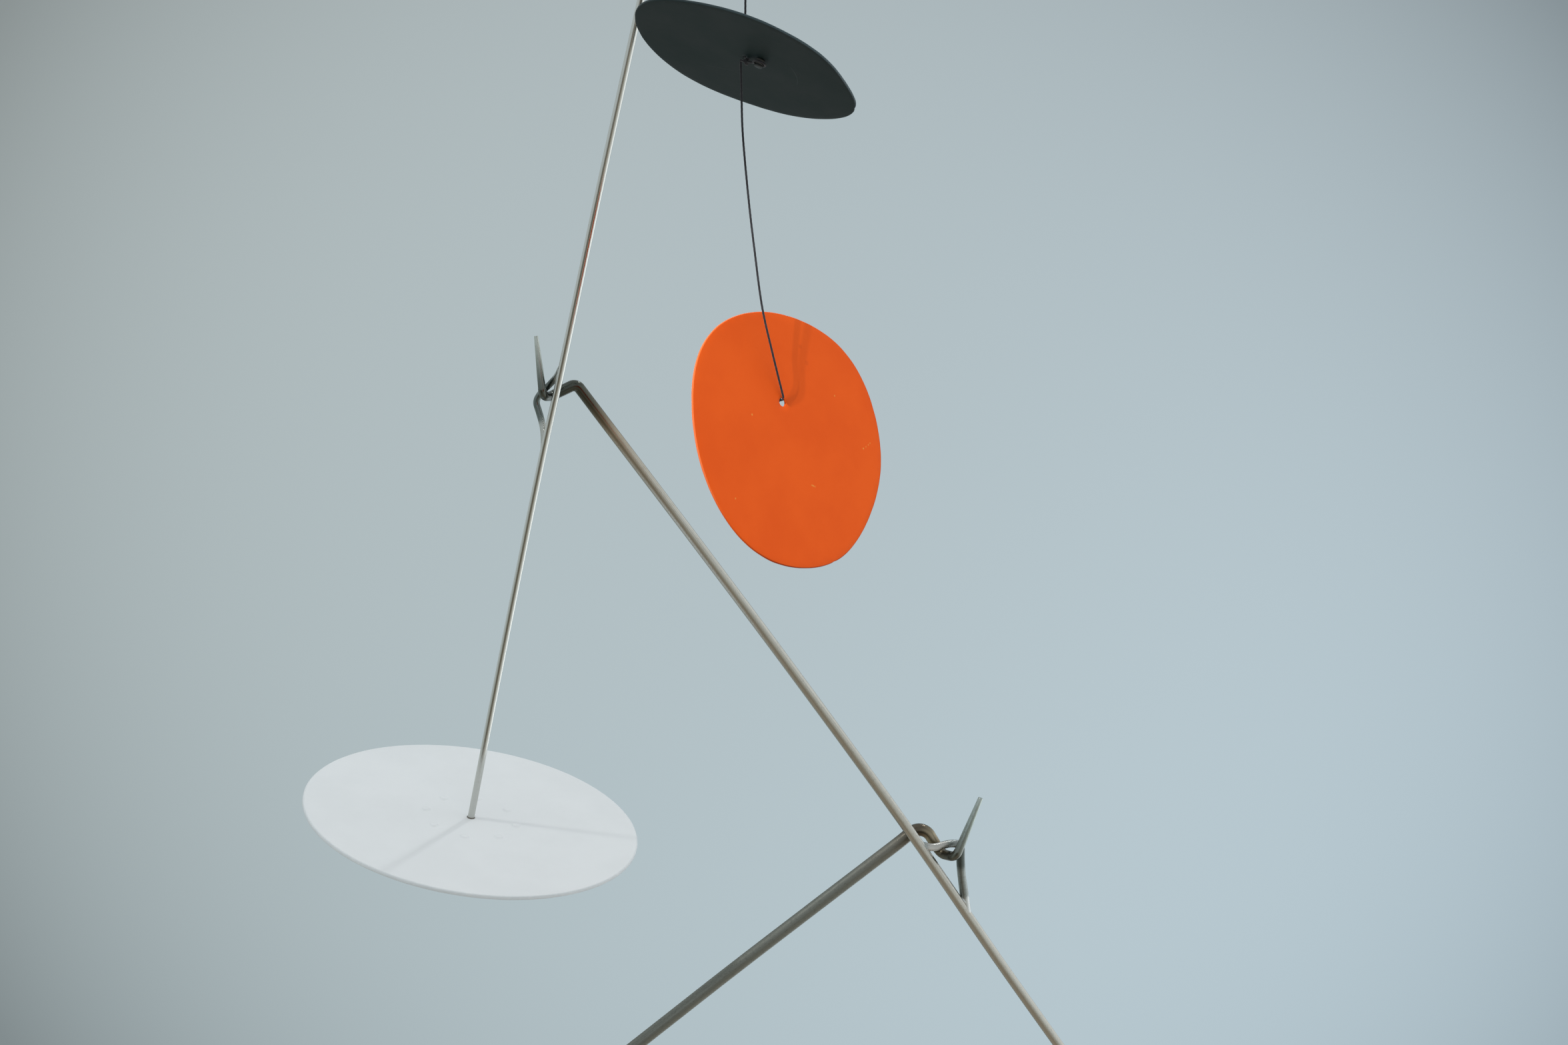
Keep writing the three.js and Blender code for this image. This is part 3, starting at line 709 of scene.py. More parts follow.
bright_steel = steel("bright_bar_steel", (0.60, 0.605, 0.575), streak=0.16, rough=0.17, mottle=0.12, bump=0.10, dark=(0.24, 0.235, 0.20))
# colours along the middle bar, in mm from its hook's tip: pale at the tip, dark blue-black through the hook's bend,
# then a pale-brown band (86-97 mm) that is a painted highlight, then the bar's own grey-brown
MID_TINT_AND_PAINTED_LIGHT = [
    (0, (0.52, 0.56, 0.52)), (9, (0.44, 0.48, 0.44)), (17, (0.27, 0.30, 0.275)), (26, (0.13, 0.155, 0.145)), (34, (0.075, 0.095, 0.09)), (48, (0.05, 0.068, 0.066)),
    (60, (0.060, 0.072, 0.064)), (74, (0.085, 0.088, 0.070)), (86, (0.20, 0.17, 0.125)), (97, (0.38, 0.33, 0.255)), (116, (0.45, 0.42, 0.355)), (165, (0.52, 0.515, 0.47)),
]
middle_steel = steel("middle_bar_steel", MID_TINT_AND_PAINTED_LIGHT, streak=0.34, rough=0.30, mottle=0.24, tint_span=(0, 165), bump=0.14, dark=(0.15, 0.12, 0.085), near=(60, 110, -0.07))
# colours along the lower bar, in mm from its hook's tip: dark over the hook's arch as painted shade, a narrow bright
# band at 68 mm that is a painted glint, then the bar's own grey-brown
LOW_TINT_AND_PAINTED_LIGHT = [
    (0, (0.42, 0.47, 0.44)), (18, (0.33, 0.385, 0.36)), (34, (0.20, 0.22, 0.20)), (46, (0.105, 0.10, 0.08)), (58, (0.12, 0.095, 0.062)),
    (68, (0.34, 0.29, 0.20)), (76, (0.11, 0.09, 0.065)), (88, (0.13, 0.115, 0.09)), (100, (0.23, 0.225, 0.195)), (140, (0.225, 0.235, 0.21)),
]
lower_steel = steel("lower_bar_steel", LOW_TINT_AND_PAINTED_LIGHT, streak=0.24, rough=0.50, mottle=0.42, tint_span=(0, 140), bump=0.22, dark=(0.10, 0.10, 0.085), near=(78, 104, -0.24))
ceiling_steel = steel("ceiling_bar_steel", (0.27, 0.275, 0.25), streak=0.24, rough=0.46, mottle=0.35, bump=0.2)


def plate_steel(name):
    m, N, b = material(name)
    own = N.attr("own")
    x, y, z = N.sep(own)
    r = N.vec("LENGTH", own)
    rings = N.noise(N.comb(N.math("MULTIPLY", r, 2.2), N.math("MULTIPLY", z, 1.0), 0.0), 1.0, 4.0, 0.7)
    spots = N.noise(own, 0.12, 4.0, 0.6)
    c = N.mix(N.span(rings, 0.3, 0.7, 0.0, 0.35), (0.42, 0.40, 0.37), (0.16, 0.145, 0.125))
    c = N.mix(N.span(spots, 0.5, 0.8, 0.0, 0.4), c, (0.14, 0.12, 0.10))
    N.put(b.inputs["Base Color"], c)
    set_input(b, "Metallic", 1.0)
    N.put(b.inputs["Roughness"], N.span(rings, 0.2, 0.8, 0.3, 0.46))
    N.put(b.inputs["Normal"], N.bump(rings, 0.15, 0.0001))
    return m


def white_paint():
    m, N, b = material("white_matte_paint")
    own = N.attr("own")
    x, y, z = N.sep(own)
    r = N.vec("LENGTH", N.comb(x, y, 0.0))
    cloud = N.noise(own, 0.018, 4.0, 0.55)
    peel = N.noise(own, 0.9, 3.0, 0.6)
    dust = N.noise(own, 0.22, 6.0, 0.7)
    c = N.mix(N.span(cloud, 0.35, 0.65), (0.775, 0.80, 0.81), (0.80, 0.825, 0.835))
    c = N.mix(N.span(dust, 0.60, 0.80, 0.0, 0.25), c, (0.62, 0.65, 0.66))
    # a thin blue-grey darkening along the rim, patchy with the dust noise: painted shade on the edge
    painted_rim_light = N.math("MULTIPLY", N.span(r, WHITE_R - 1.2, WHITE_R - 0.1), N.span(dust, 0.3, 0.6, 0.35, 1.0))
    c = N.mix(N.math("MULTIPLY", painted_rim_light, 0.30), c, (0.55, 0.62, 0.66))
    N.put(b.inputs["Base Color"], c)
    set_input(b, "Specular IOR Level", 0.35)
    N.put(b.inputs["Roughness"], N.span(dust, 0.2, 0.8, 0.55, 0.7))
    N.put(b.inputs["Normal"], N.bump(peel, 0.08, 0.00012))
    return m


def rim_inset(N, x, y, radius, waves):
    """Distance in from a wavy outline, in mm."""
    a = N.math("ARCTAN2", y, x)
    limit = N.math("MULTIPLY", a, 0.0)
    for k, cc, ss in waves:
        ka = N.math("MULTIPLY", a, float(k))
        term = N.math("ADD", N.math("MULTIPLY", N.math("COSINE", ka), cc), N.math("MULTIPLY", N.math("SINE", ka), ss))
        limit = N.math("ADD", limit, term)
    rim = N.math("MULTIPLY", N.math("ADD", limit, 1.0), radius)
    return N.math("SUBTRACT", rim, N.vec("LENGTH", N.comb(x, y, 0.0))), a


def black_paint(name="black_satin_paint", radius=58.5, waves=BLACK_WAVES, base=(0.0035, 0.0125, 0.0125), level=0.2, marks=True):
    m, N, b = material(name)
    own = N.attr("own")
    x, y, z = N.sep(own)
    flat = N.comb(x, y, 0.0)
    cloud = N.noise(own, 0.03, 4.0, 0.6)
    peel = N.noise(own, 1.1, 3.0, 0.6)
    dust = N.noise(own, 0.55, 6.0, 0.75)
    c = N.mix(N.span(cloud, 0.35, 0.65), base, tuple(v * 1.35 for v in base))
    c = N.mix(N.span(dust, 0.64, 0.82, 0.0, 0.30), c, (0.03, 0.042, 0.042))
    scratch = 0.0
    if marks:
        # one curved scratch and a shorter straight one
        arc = N.math("ABSOLUTE", N.math("SUBTRACT", N.vec("DISTANCE", flat, (-6.0, 0.5, 0.0)), 34.6))
        on = N.math("MULTIPLY", N.span(arc, 0.10, 0.32, 1.0, 0.0), N.math("MULTIPLY", N.span(y, -17.0, -13.0), N.span(y, 3.0, 7.0, 1.0, 0.0)))
        on = N.math("MULTIPLY", on, N.math("MULTIPLY", N.span(x, 15.0, 20.0), N.span(dust, 0.35, 0.6, 0.3, 1.0)))
        line = N.math("ABSOLUTE", N.math("ADD", N.math("ADD", N.math("MULTIPLY", x, 0.35), N.math("MULTIPLY", y, 0.937)), -14.0))
        on2 = N.math("MULTIPLY", N.span(line, 0.08, 0.25, 0.7, 0.0), N.math("MULTIPLY", N.span(x, -24.0, -19.0), N.span(x, -9.0, -5.0, 1.0, 0.0)))
        scratch = N.math("MAXIMUM", on, on2)
        c = N.mix(N.math("MULTIPLY", scratch, 0.55), c, (0.055, 0.07, 0.07))
    # the rim: a lighter blue-grey edge, strongest on two opposite sides by its angle round the disc, is a painted
    # highlight
    inset, a = rim_inset(N, x, y, radius, waves)
    inset = N.math("ADD", inset, N.math("MULTIPLY", N.math("SUBTRACT", dust, 0.5), 0.5))
    side = N.math("ADD", N.math("MULTIPLY", N.math("ABSOLUTE", N.math("COSINE", N.math("ADD", a, 0.75))), 0.9), 0.1)
    painted_rim_light = N.math("MULTIPLY", N.span(inset, 0.05, 0.55, 1.0, 0.0), side)
    c = N.mix(N.math("MULTIPLY", painted_rim_light, 0.75), c, (0.085, 0.12, 0.135))
    N.put(b.inputs["Base Color"], c)
    set_input(b, "Specular IOR Level", level)
    N.put(b.inputs["Roughness"], N.span(cloud, 0.3, 0.7, 0.50, 0.58))
    N.put(b.inputs["Normal"], N.bump(peel, 0.10, 0.0001))
    return m


ORANGE_SPECKS = []          # filled in below, in the disc's own mm: (x, y, radius, kind)


def orange_paint():
    m, N, b = material("orange_satin_paint")
    own = N.attr("own")
    x, y, z = N.sep(own)
    flat = N.comb(x, y, 0.0)
    cloud = N.noise(own, 0.025, 4.0, 0.55)
    peel = N.noise(own, 1.0, 3.0, 0.6)
    dust = N.noise(own, 0.5, 6.0, 0.75)
    c = N.mix(N.span(cloud, 0.3, 0.7), (0.79, 0.096, 0.0072), (0.84, 0.110, 0.0090))
    c = N.mix(N.span(dust, 0.64, 0.82, 0.0, 0.18), c, (0.66, 0.070, 0.008))
    wobble = N.math("MULTIPLY", N.math("SUBTRACT", dust, 0.5), 0.8)
    for sx, sy, sr, colour, depth in ORANGE_SPECKS:
        d = N.math("ADD", N.vec("DISTANCE", flat, (sx, sy, 0.0)), wobble)
        c = N.mix(N.span(d, sr * 0.5, sr, depth, 0.0), c, colour)
    # the rim, by the angle round the disc: a dark red line on one side is painted shade, a pale line on the other a
    # painted highlight
    inset, a = rim_inset(N, x, y, ORANGE_R, ORANGE_WAVES)
    inset = N.math("ADD", inset, N.math("MULTIPLY", wobble, 0.4))
    right = N.span(N.math("COSINE", N.math("ADD", a, 0.35)), -0.2, 0.35)
    c = N.mix(N.math("MULTIPLY", N.span(inset, 0.10, 0.50, 0.75, 0.0), right), c, (0.26, 0.022, 0.006))
    left = N.span(N.math("COSINE", N.math("ADD", a, 0.35)), -0.25, -0.75)
    c = N.mix(N.math("MULTIPLY", N.span(inset, 0.10, 0.45, 0.45, 0.0), left), c, (0.86, 0.26, 0.10))
    N.put(b.inputs["Base Color"], c)
    set_input(b, "Specular IOR Level", 0.10)
    N.put(b.inputs["Roughness"], N.span(dust, 0.2, 0.8, 0.56, 0.66))
    N.put(b.inputs["Normal"], N.bump(peel, 0.08, 0.00012))
    return m


def cord_fibre():
    m, N, b = material("black_cord_fibre")
    p = N.vec("SCALE", N.place(), scale=1000.0)
    fuzz = N.noise(p, 3.5, 5.0, 0.7)
    c = N.mix(N.span(fuzz, 0.3, 0.75), (0.010, 0.010, 0.013), (0.035, 0.035, 0.042))
    N.put(b.inputs["Base Color"], c)
    N.put(b.inputs["Roughness"], N.span(fuzz, 0.3, 0.7, 0.62, 0.85))
    set_input(b, "Specular IOR Level", 0.3)
    set_input(b, "Sheen Weight", 0.25)
    N.put(b.inputs["Normal"], N.bump(fuzz, 0.5, 0.0001))
    return m


fibre = cord_fibre()


# ------------------------------------------------------------------ cords, first of the pieces
def smooth_line(points, step):
    """Centripetal Catmull-Rom line through points, evenly spaced."""
    P = [V(p) for p in points]
    P = [P[0] * 2 - P[1]] + P + [P[-1] * 2 - P[-2]]
    dense = []
    for i in range(1, len(P) - 2):
        p0, p1, p2, p3 = P[i - 1], P[i], P[i + 1], P[i + 2]
        t0 = 0.0
        t1 = t0 + math.sqrt((p1 - p0).length)
        t2 = t1 + math.sqrt((p2 - p1).length)
        t3 = t2 + math.sqrt((p3 - p2).length)
        for j in range(40):
            t = t1 + (t2 - t1) * j / 40
            a1 = p0 * ((t1 - t) / (t1 - t0)) + p1 * ((t - t0) / (t1 - t0))
            a2 = p1 * ((t2 - t) / (t2 - t1)) + p2 * ((t - t1) / (t2 - t1))
            a3 = p2 * ((t3 - t) / (t3 - t2)) + p3 * ((t - t2) / (t3 - t2))
            b1 = a1 * ((t2 - t) / (t2 - t0)) + a2 * ((t - t0) / (t2 - t0))
            b2 = a2 * ((t3 - t) / (t3 - t1)) + a3 * ((t - t1) / (t3 - t1))
            dense.append(b1 * ((t2 - t) / (t2 - t1)) + b2 * ((t - t1) / (t2 - t1)))
    dense.append(P[-2].copy())
    total = sum((b - a).length for a, b in zip(dense, dense[1:]))
    n = max(2, int(round(total / step)))
    out, want, s = [dense[0].copy()], total / n, 0.0
    k = 1
    for a, b in zip(dense, dense[1:]):
        d = (b - a).length
        while k < n and s + d >= k * want:
            out.append(a.lerp(b, (k * want - s) / d))
            k += 1
        s += d
    out.append(dense[-1].copy())
    return out, total


def twisted(points, step=0.35, lay=2.4, sides=18, r=CORD_R):
    """Three-strand cord laid along points: (verts, faces, line)."""
    line, total = smooth_line(points, step)
    fr = frames(line)
    verts, faces = [], []
    for i, (p, (t, u, v)) in enumerate(zip(line, fr)):
        s = total * i / (len(line) - 1)
        for k in range(sides):
            a = 2 * math.pi * k / sides
            rr = r * (0.95 + 0.05 * math.cos(3 * (a - 2 * math.pi * s / (3 * lay))))
            verts.append(p + u * (rr * math.cos(a)) + v * (rr * math.sin(a)))
    n = len(line)
    for j in range(n - 1):
        for k in range(sides):
            k2 = (k + 1) % sides
            faces.append((j * sides + k, j * sides + k2, (j + 1) * sides + k2, (j + 1) * sides + k))
    faces.append(tuple(reversed(range(sides))))
    faces.append(tuple((n - 1) * sides + k for k in range(sides)))
    return verts, faces, line, total


def lump_of(name, paths, mat, extra=()):
    verts, faces = [], []
    for path in paths:
        v, f, _, _ = twisted(path)
        base = len(verts)
        verts += v
        faces += [tuple(base + i for i in q) for q in f]
    for v, f in extra:
        base = len(verts)
        verts += v
        faces += [tuple(base + i for i in q) for q in f]
    return make(name, verts, faces, mat, angle=60)


def free_cord(name, points, node):
    v, f, line, total = twisted(points)
    ob = make(name, v, f, fibre, angle=60)
    path = [tuple(p * MM) for p in line[:: 12]]
    if (Vector(path[-1]) - line[-1] * MM).length > 1e-6:
        path.append(tuple(line[-1] * MM))
    return keep(ob, "black_cord", node)


cord_start = down((CORD_TOP[0], CORD_TOP[1], CORD_TOP[2] - LOOP_R - 1.2 - 1.7 - GAP))
cord_in = BLACK.at(CORD_HOLE[0], CORD_HOLE[1], -0.45)
top_c = down(CORD_TOP)
side = Vector((0, 0, 1)).cross(arm_dir)


def ring_path(c, a, b, r, n=20, start=0.0, turns=1.0, drift=None):
    out = []
    for i in range(n + 1):
        t = start + 2 * math.pi * turns * i / n
        p = c + a * (r * math.cos(t)) + b * (r * math.sin(t))
        if drift is not None:
            p = p + drift * (i / n)
        out.append(p)
    return out


def knot_path(c, a, b, n, size, squash=0.8):
    """An overhand knot's line round c: three lobes that pass over and under."""
    pts = []
    for i in range(49):
        t = 2 * math.pi * i / 48 * 0.97
        x = math.sin(t) + 2 * math.sin(2 * t)
        y = math.cos(t) - 2 * math.cos(2 * t)
        z = -math.sin(3 * t)
        pts.append(c + a * (x * size / 3) + b * (y * size / 3) + n * (z * size / 3 * squash))
    return pts


up = Vector((0, 0, 1))
k_c = top_c - up * (LOOP_R + 1.25)
top_loop = lump_of("cord_top_loop_piece", [
    ring_path(top_c, side, up, LOOP_R, 28, start=-math.pi / 2 + 0.25, turns=0.92),
    knot_path(k_c, side, up, arm_dir, 1.05),
    ring_path(k_c - up * 0.5, side, arm_dir, 0.95, 16, turns=1.5, drift=up * 1.2),
], fibre)
keep(top_loop, "black_cord", "cord_top_loop")

# middle knot: a turn round the rivet's barrel and a lumpy knot where the long cord starts
rv = BLACK.at(RIVET[0], RIVET[1], -2.3)
kc = BLACK.at(2.0, -7.6, -2.1)
mid_paths = [
    ring_path(rv, BLACK.u, BLACK.v, 2.15 + GAP + CORD_R + 0.03, 26, start=2.6, turns=0.96, drift=BLACK.n * 0.25),
    [BLACK.at(2.4, -7.7, -2.0), BLACK.at(4.2, -8.3, -1.9), BLACK.at(6.2, -9.4, -2.1), BLACK.at(7.2, -9.2, -2.2)],
    [BLACK.at(2.6, -8.4, -2.5), BLACK.at(4.2, -9.6, -2.6), BLACK.at(6.1, -10.8, -2.6), BLACK.at(6.6, -12.4, -2.6)],
    knot_path(kc, BLACK.u, BLACK.v, BLACK.n, 1.25, 0.7),
    ring_path(kc, (BLACK.u * 0.4 + BLACK.v).normalized(), BLACK.n, 1.35, 16, turns=1.4, drift=BLACK.u * 1.0),
    [BLACK.at(1.2, -8.6, -2.8), BLACK.at(0.2, -9.6, -3.2), BLACK.at(-0.3, -10.3, -3.5)],
]
mid_knot = lump_of("cord_middle_knot_piece", mid_paths, fibre)
keep(mid_knot, "black_cord", "cord_middle_knot")

hx, hy = ORANGE_HOLE
o_at = ORANGE.at
end_knot = lump_of("cord_end_knot_piece", [
    [o_at(hx, hy + 1.15, 0.35), o_at(hx, hy + 1.2, -0.4), o_at(hx, hy + 1.35, -ORANGE_T - 0.5), o_at(hx, hy + 1.9, -ORANGE_T - 1.3)],
    knot_path(o_at(hx, hy + 2.4, -ORANGE_T - 1.75), ORANGE.u, ORANGE.v, ORANGE.n, 1.25, 0.65),
    ring_path(o_at(hx, hy + 2.4, -ORANGE_T - 1.7), ORANGE.u, ORANGE.v, 1.1, 18, turns=1.3, drift=ORANGE.n * -0.4),
], fibre)
keep(end_knot, "black_cord", "cord_end_knot")

free_cord("cord_upper_piece", [cord_start, cord_start.lerp(cord_in, 0.5), cord_in], "cord_upper")
LOWER_CORD = [
    BLACK.at(-0.35, -6.9, -3.1), down((511.0, -346.5, -140.0)), down((511.5, -347.0, -156.2)), down((514.6, -348.5, -191.2)),
    down((517.3, -349.5, -214.4)), down((521.3, -349.0, -244.1)), down((526.1, -346.5, -265.3)), ORANGE.at(hx - 0.3, hy + 1.9, 0.95),
]
free_cord("cord_lower_piece", LOWER_CORD, "cord_lower")

# ------------------------------------------------------------------ bars
st_upper = stations(lowered(UPPER_ARM))
st_middle = stations(lowered(MIDDLE_ARM))
st_lower = stations(lowered(LOWER_ARM))


def hammered(depth, at, reach):
    """Slight flats near a bend, where the hot bar was worked."""
    def shape(s, a, r):
        w = math.exp(-((s - at) / reach) ** 2)
        return r * (1 - depth * w * (0.5 + 0.5 * math.cos(2 * a + s * 0.06)) - 0.004 * math.sin(5 * a + s * 0.21) * w)
    return shape


keep(tube("upper_arm_piece", st_upper, bright_steel, sides=32, edge=0.3, wobble=0.012, seed=3.1), "bright_steel", "upper_arm")
keep(tube("middle_arm_piece", st_middle, middle_steel, sides=32, edge=0.25, shape=hammered(0.05, 50, 16), wobble=0.02, seed=8.4), "dark_steel", "middle_arm")
keep(tube("lower_arm_piece", st_lower, lower_steel, sides=36, edge=0.3, shape=hammered(0.06, 52, 18), wobble=0.035, seed=5.2), "dark_steel", "lower_arm")

z0 = LOWER_HANG[2] - 3 - 0.4 - 3.2
CEILING_ROD = [
    (0, 0, -DATUM - 6 - GAP, 4), (0, 0, z0 + 30, 4), (0, 0, z0 + 0.01, 3.4, HOOK_R - 0.02), (0, -2 * HOOK_R, z0 + 0.01, 3.1, HOOK_R - 0.02),
    (0, -2 * HOOK_R - 1.5, z0 + 44, 1.7),
]
st_ceiling = stations(lowered(CEILING_ROD))
keep(tube("ceiling_rod_piece", st_ceiling, ceiling_steel, sides=32, edge=0.3, wobble=0.02, seed=1.7), "dark_steel", "ceiling_rod")


# eyes: wire and its welds in one skin
def eye(name, corners, arm_st, welds, mat, slot_name, node):
    st = stations(lowered(corners), arc_step=6, run_step=2.0)
    parts = [tube_part(st, 22)]
    for at, along, size, reach in welds:
        p = down(at)
        # nearest place on the arm
        k = min(range(len(arm_st)), key=lambda i: (arm_st[i][0] - p).length)
        best, bd = None, 1e9
        for i in range(max(0, k - 3), min(len(arm_st) - 1, k + 3)):
            a, b = arm_st[i][0], arm_st[i + 1][0]
            t = max(0, min(1, (p - a).dot(b - a) / (b - a).length_squared))
            q = a.lerp(b, t)
            if (q - p).length < bd:
                bd, best, r, d = (q - p).length, q, arm_st[i][1], (b - a).normalized()
        out = (p - best).normalized()
        third = d.cross(out)
        rot = Matrix((third, out, d)).transposed()
        parts.append(blob(best + out * (r * 0.78), (size * 0.85, size * 0.5, size * reach), rot, seed=along, rough=0.3))
    ob = welded(name, parts, mat, voxel=0.26, smooth=6)
    return keep(ob, slot_name, node)


def pt(p):
    return tuple(down(p))


# upper eye: the two dark marks at its bend are painted shade where it passes behind the hook; the pale mark by the
# lower weld is a painted highlight
upper_eye_mat = weld_steel("upper_eye_steel", (0.40, 0.425, 0.40), [(pt((397.0, -171.0, -271.0)), 9, (0.07, 0.085, 0.08)), (pt((388.3, -166.0, -283.0)), 12, (0.10, 0.125, 0.12)), (pt((405.0, -180.4, -262.0)), 6, (0.30, 0.31, 0.28)), (pt((393.0, -166.5, -300.0)), 9, (0.46, 0.47, 0.44))], rough=0.24)
# middle eye: the dark mark at its bend is painted shade inside the hook; the pale marks by the upper weld and on the
# lower weld are painted highlights
middle_eye_mat = weld_steel("middle_eye_steel", (0.30, 0.33, 0.32), [(pt((646.5, -9.0, -566.0)), 12, (0.075, 0.09, 0.085)), (pt((630, -18, -560)), 11, (0.46, 0.45, 0.42)), (pt((651.0, -2.0, -600.0)), 9, (0.60, 0.62, 0.61))], rough=0.30)
lower_eye_mat = weld_steel("lower_eye_steel", (0.27, 0.275, 0.25), [(pt((16, -7.5, -1013)), 12, (0.24, 0.20, 0.15)), (pt((-15, -7, -1040)), 12, (0.17, 0.165, 0.16))], rough=0.4)
upper_eye = eye("upper_arm_eye_piece", UPPER_EYE, st_upper, [((402.6, -176.2, -265.6), 0.4, 1.6, 1.9), ((392.4, -165.6, -301.0), 2.2, 1.5, 3.2)], upper_eye_mat, "bright_steel", "upper_arm_eye")
middle_eye = eye("middle_arm_eye_piece", MIDDLE_EYE, st_middle, [((624.6, -20.6, -558.9), 1.1, 2.4, 1.7), ((650.5, -3.3, -597.8), 5.3, 2.5, 2.4)], middle_eye_mat, "dark_steel", "middle_arm_eye")
lower_eye = eye("lower_arm_eye_piece", LOWER_EYE, st_lower, [((18, -7.3, -1012), 7.7, 3.4, 1.6), ((-15, -6.9, lower_at(-15)[2] + 8.4), 9.9, 3.4, 1.6)], lower_eye_mat, "dark_steel", "lower_arm_eye")

# ------------------------------------------------------------------ discs
white_mat = white_paint()
black_mat = black_paint()
weight_mat = black_paint("weight_satin_paint", 1000.0, (), (0.0055, 0.0115, 0.0115), 0.3, False)


def own_of(disc, p):
    d = down(p) - disc.c
    return d.dot(disc.u), d.dot(disc.v)


YELLOW, DARK_RED, PALE = (0.80, 0.36, 0.07), (0.20, 0.018, 0.008), (0.80, 0.26, 0.08)
ORANGE_SPECKS += [
    (-26.3, 6.1, 0.65, YELLOW, 0.7), (15.0, -22.0, 0.6, YELLOW, 0.7), (16.0, -22.1, 0.6, YELLOW, 0.7), (17.0, -22.3, 0.5, YELLOW, 0.6),
    (52.3, 4.9, 0.6, YELLOW, 0.65), (54.2, 6.2, 0.5, YELLOW, 0.55), (56.0, 7.6, 0.5, YELLOW, 0.6), (57.3, 8.8, 0.5, YELLOW, 0.5),
    (31.5, 28.7, 0.55, YELLOW, 0.5), (-37.0, -38.6, 0.6, YELLOW, 0.5), (6.8, 49.3, 1.6, DARK_RED, 0.10), (11.5, 41.6, 1.8, DARK_RED, 0.09),
    (51.9, -41.0, 1.3, DARK_RED, 0.75), (31.0, -59.2, 1.2, DARK_RED, 0.75), (-2.1, 64.0, 1.1, DARK_RED, 0.7), (0.9, 64.4, 0.9, DARK_RED, 0.6),
]
orange_mat = orange_paint()


def sheet_height(x, y):
    h = 0.16 * noise.noise(Vector((x * 0.012, y * 0.012, 4.2))) * min(1.0, math.hypot(x, y) / 60)
    dx, dy = x - FOOT[0], y - FOOT[1]
    return h


white_extra = []
DOMES = []
for i in range(8):
    a = 2 * math.pi * i / 8
    cx, cy = FOOT[0] + DOME_RING * math.cos(a), FOOT[1] + DOME_RING * math.sin(a)
    DOMES.append((cx, cy))
    white_extra.append((cx, cy))
    for rr, m in ((0.9, 8), (1.75, 16), (2.05, 20), (2.35, 22), (2.65, 24), (2.95, 26), (3.6, 24), (4.6, 20)):
        for j in range(m):
            b = 2 * math.pi * (j + 0.5 * (m % 4)) / m
            white_extra.append((cx + rr * math.cos(b), cy + rr * math.sin(b)))


def white_height(x, y):
    h = sheet_height(x, y)
    for cx, cy in DOMES:
        d = math.hypot(x - cx, y - cy)
        if d < 4.5:
            k = min(1.0, max(0.0, (2.95 - d) / 1.15))
            h += 0.78 * k * k * (3 - 2 * k)
    return h


white_edge = outline(WHITE_R, [(2, 0.0006, -0.0008), (3, 0.0008, 0.0005)], 300)
white = sheet("white_disc_piece", WHITE, white_edge, 0.0, -WHITE_T, white_mat, height=white_height, grid=4.2, extra=white_extra, rim=0.9, rim_noise=0.10, seed=2.0)
keep(white, "white_sheet", "white_disc")

black_edge = outline(BLACK_R, BLACK_WAVES, 320)


def notch(edge, place, depth, width):
    out = []
    for x, y in edge:
        d = math.hypot(x - place[0], y - place[1])
        k = depth * math.exp(-(d / width) ** 2)
        r = math.hypot(x, y)
        out.append((x * (1 - k / r), y * (1 - k / r)))
    return out


black_edge = notch(black_edge, (59.8, 11.8), 0.55, 2.2)
black_disc = sheet("black_disc_piece", BLACK, black_edge, BLACK_T, 0.0, black_mat, holes=[(CORD_HOLE[0], CORD_HOLE[1], 1.3), (RIVET[0], RIVET[1], 1.7)],
                   height=lambda x, y: 0.35 * noise.noise(Vector((x * 0.02, y * 0.02, 9.0))), grid=3.4, rim=0.5, rim_noise=0.16, seed=7.0)
keep(black_disc, "black_sheet", "black_disc")

orange_edge = outline(ORANGE_R, ORANGE_WAVES, 340)
for place, depth, width in (((52.2, -41.2), 0.35, 1.1), ((31.2, -59.4), 0.35, 1.0), ((-2.1, 64.6), 0.25, 0.9)):
    orange_edge = notch(orange_edge, place, depth, width)
orange_disc = sheet("orange_disc_piece", ORANGE, orange_edge, 0.0, -ORANGE_T, orange_mat, holes=[(hx, hy, ORANGE_HOLE_R)],
                    height=lambda x, y: 0.3 * noise.noise(Vector((x * 0.018, y * 0.018, 2.5))), grid=3.6, rim=0.5, rim_noise=0.12, seed=11.0)
keep(orange_disc, "orange_sheet", "orange_disc")

# rivet: barrel below the disc, washer-like head above
RIVET_R, RIVET_DROP = 2.15, 4.1
rivet_place = Disc((0, 0, 0), (0.3476, 0.1581, 0.9242))
rivet_place.c = BLACK.at(RIVET[0], RIVET[1])
t_top = BLACK_T + GAP
profile = rounded([(0, -RIVET_DROP), (RIVET_R, -RIVET_DROP), (RIVET_R, -GAP), (1.35, -GAP), (1.35, t_top), (3.0, t_top), (3.0, t_top + 0.6), (2.2, t_top + 1.05), (0, t_top + 1.1)], 0.3, 4)


def rivet_steel():
    m, N, b = material("rivet_steel")
    own = N.attr("own")
    x, y, z = N.sep(own)
    rings = N.noise(N.comb(N.math("MULTIPLY", N.vec("LENGTH", N.comb(x, y, 0.0)), 3.0), N.math("MULTIPLY", z, 2.5), 0.0), 1.0, 4.0, 0.7)
    c = N.mix(N.span(rings, 0.3, 0.7), (0.50, 0.48, 0.45), (0.22, 0.20, 0.18))
    dark = N.span(z, -RIVET_DROP + 0.9, -RIVET_DROP + 1.3)
    c = N.mix(N.math("MULTIPLY", N.math("SUBTRACT", 1.0, dark), 0.93), c, (0.022, 0.026, 0.026))
    N.put(b.inputs["Base Color"], c)
    set_input(b, "Metallic", 1.0)
    N.put(b.inputs["Roughness"], N.span(rings, 0.2, 0.8, 0.3, 0.42))
    N.put(b.inputs["Normal"], N.bump(rings, 0.2, 0.0001))
    return m


keep(lathe("disc_rivet_piece", rivet_place, profile, rivet_steel(), 48), "dark_steel", "disc_rivet")


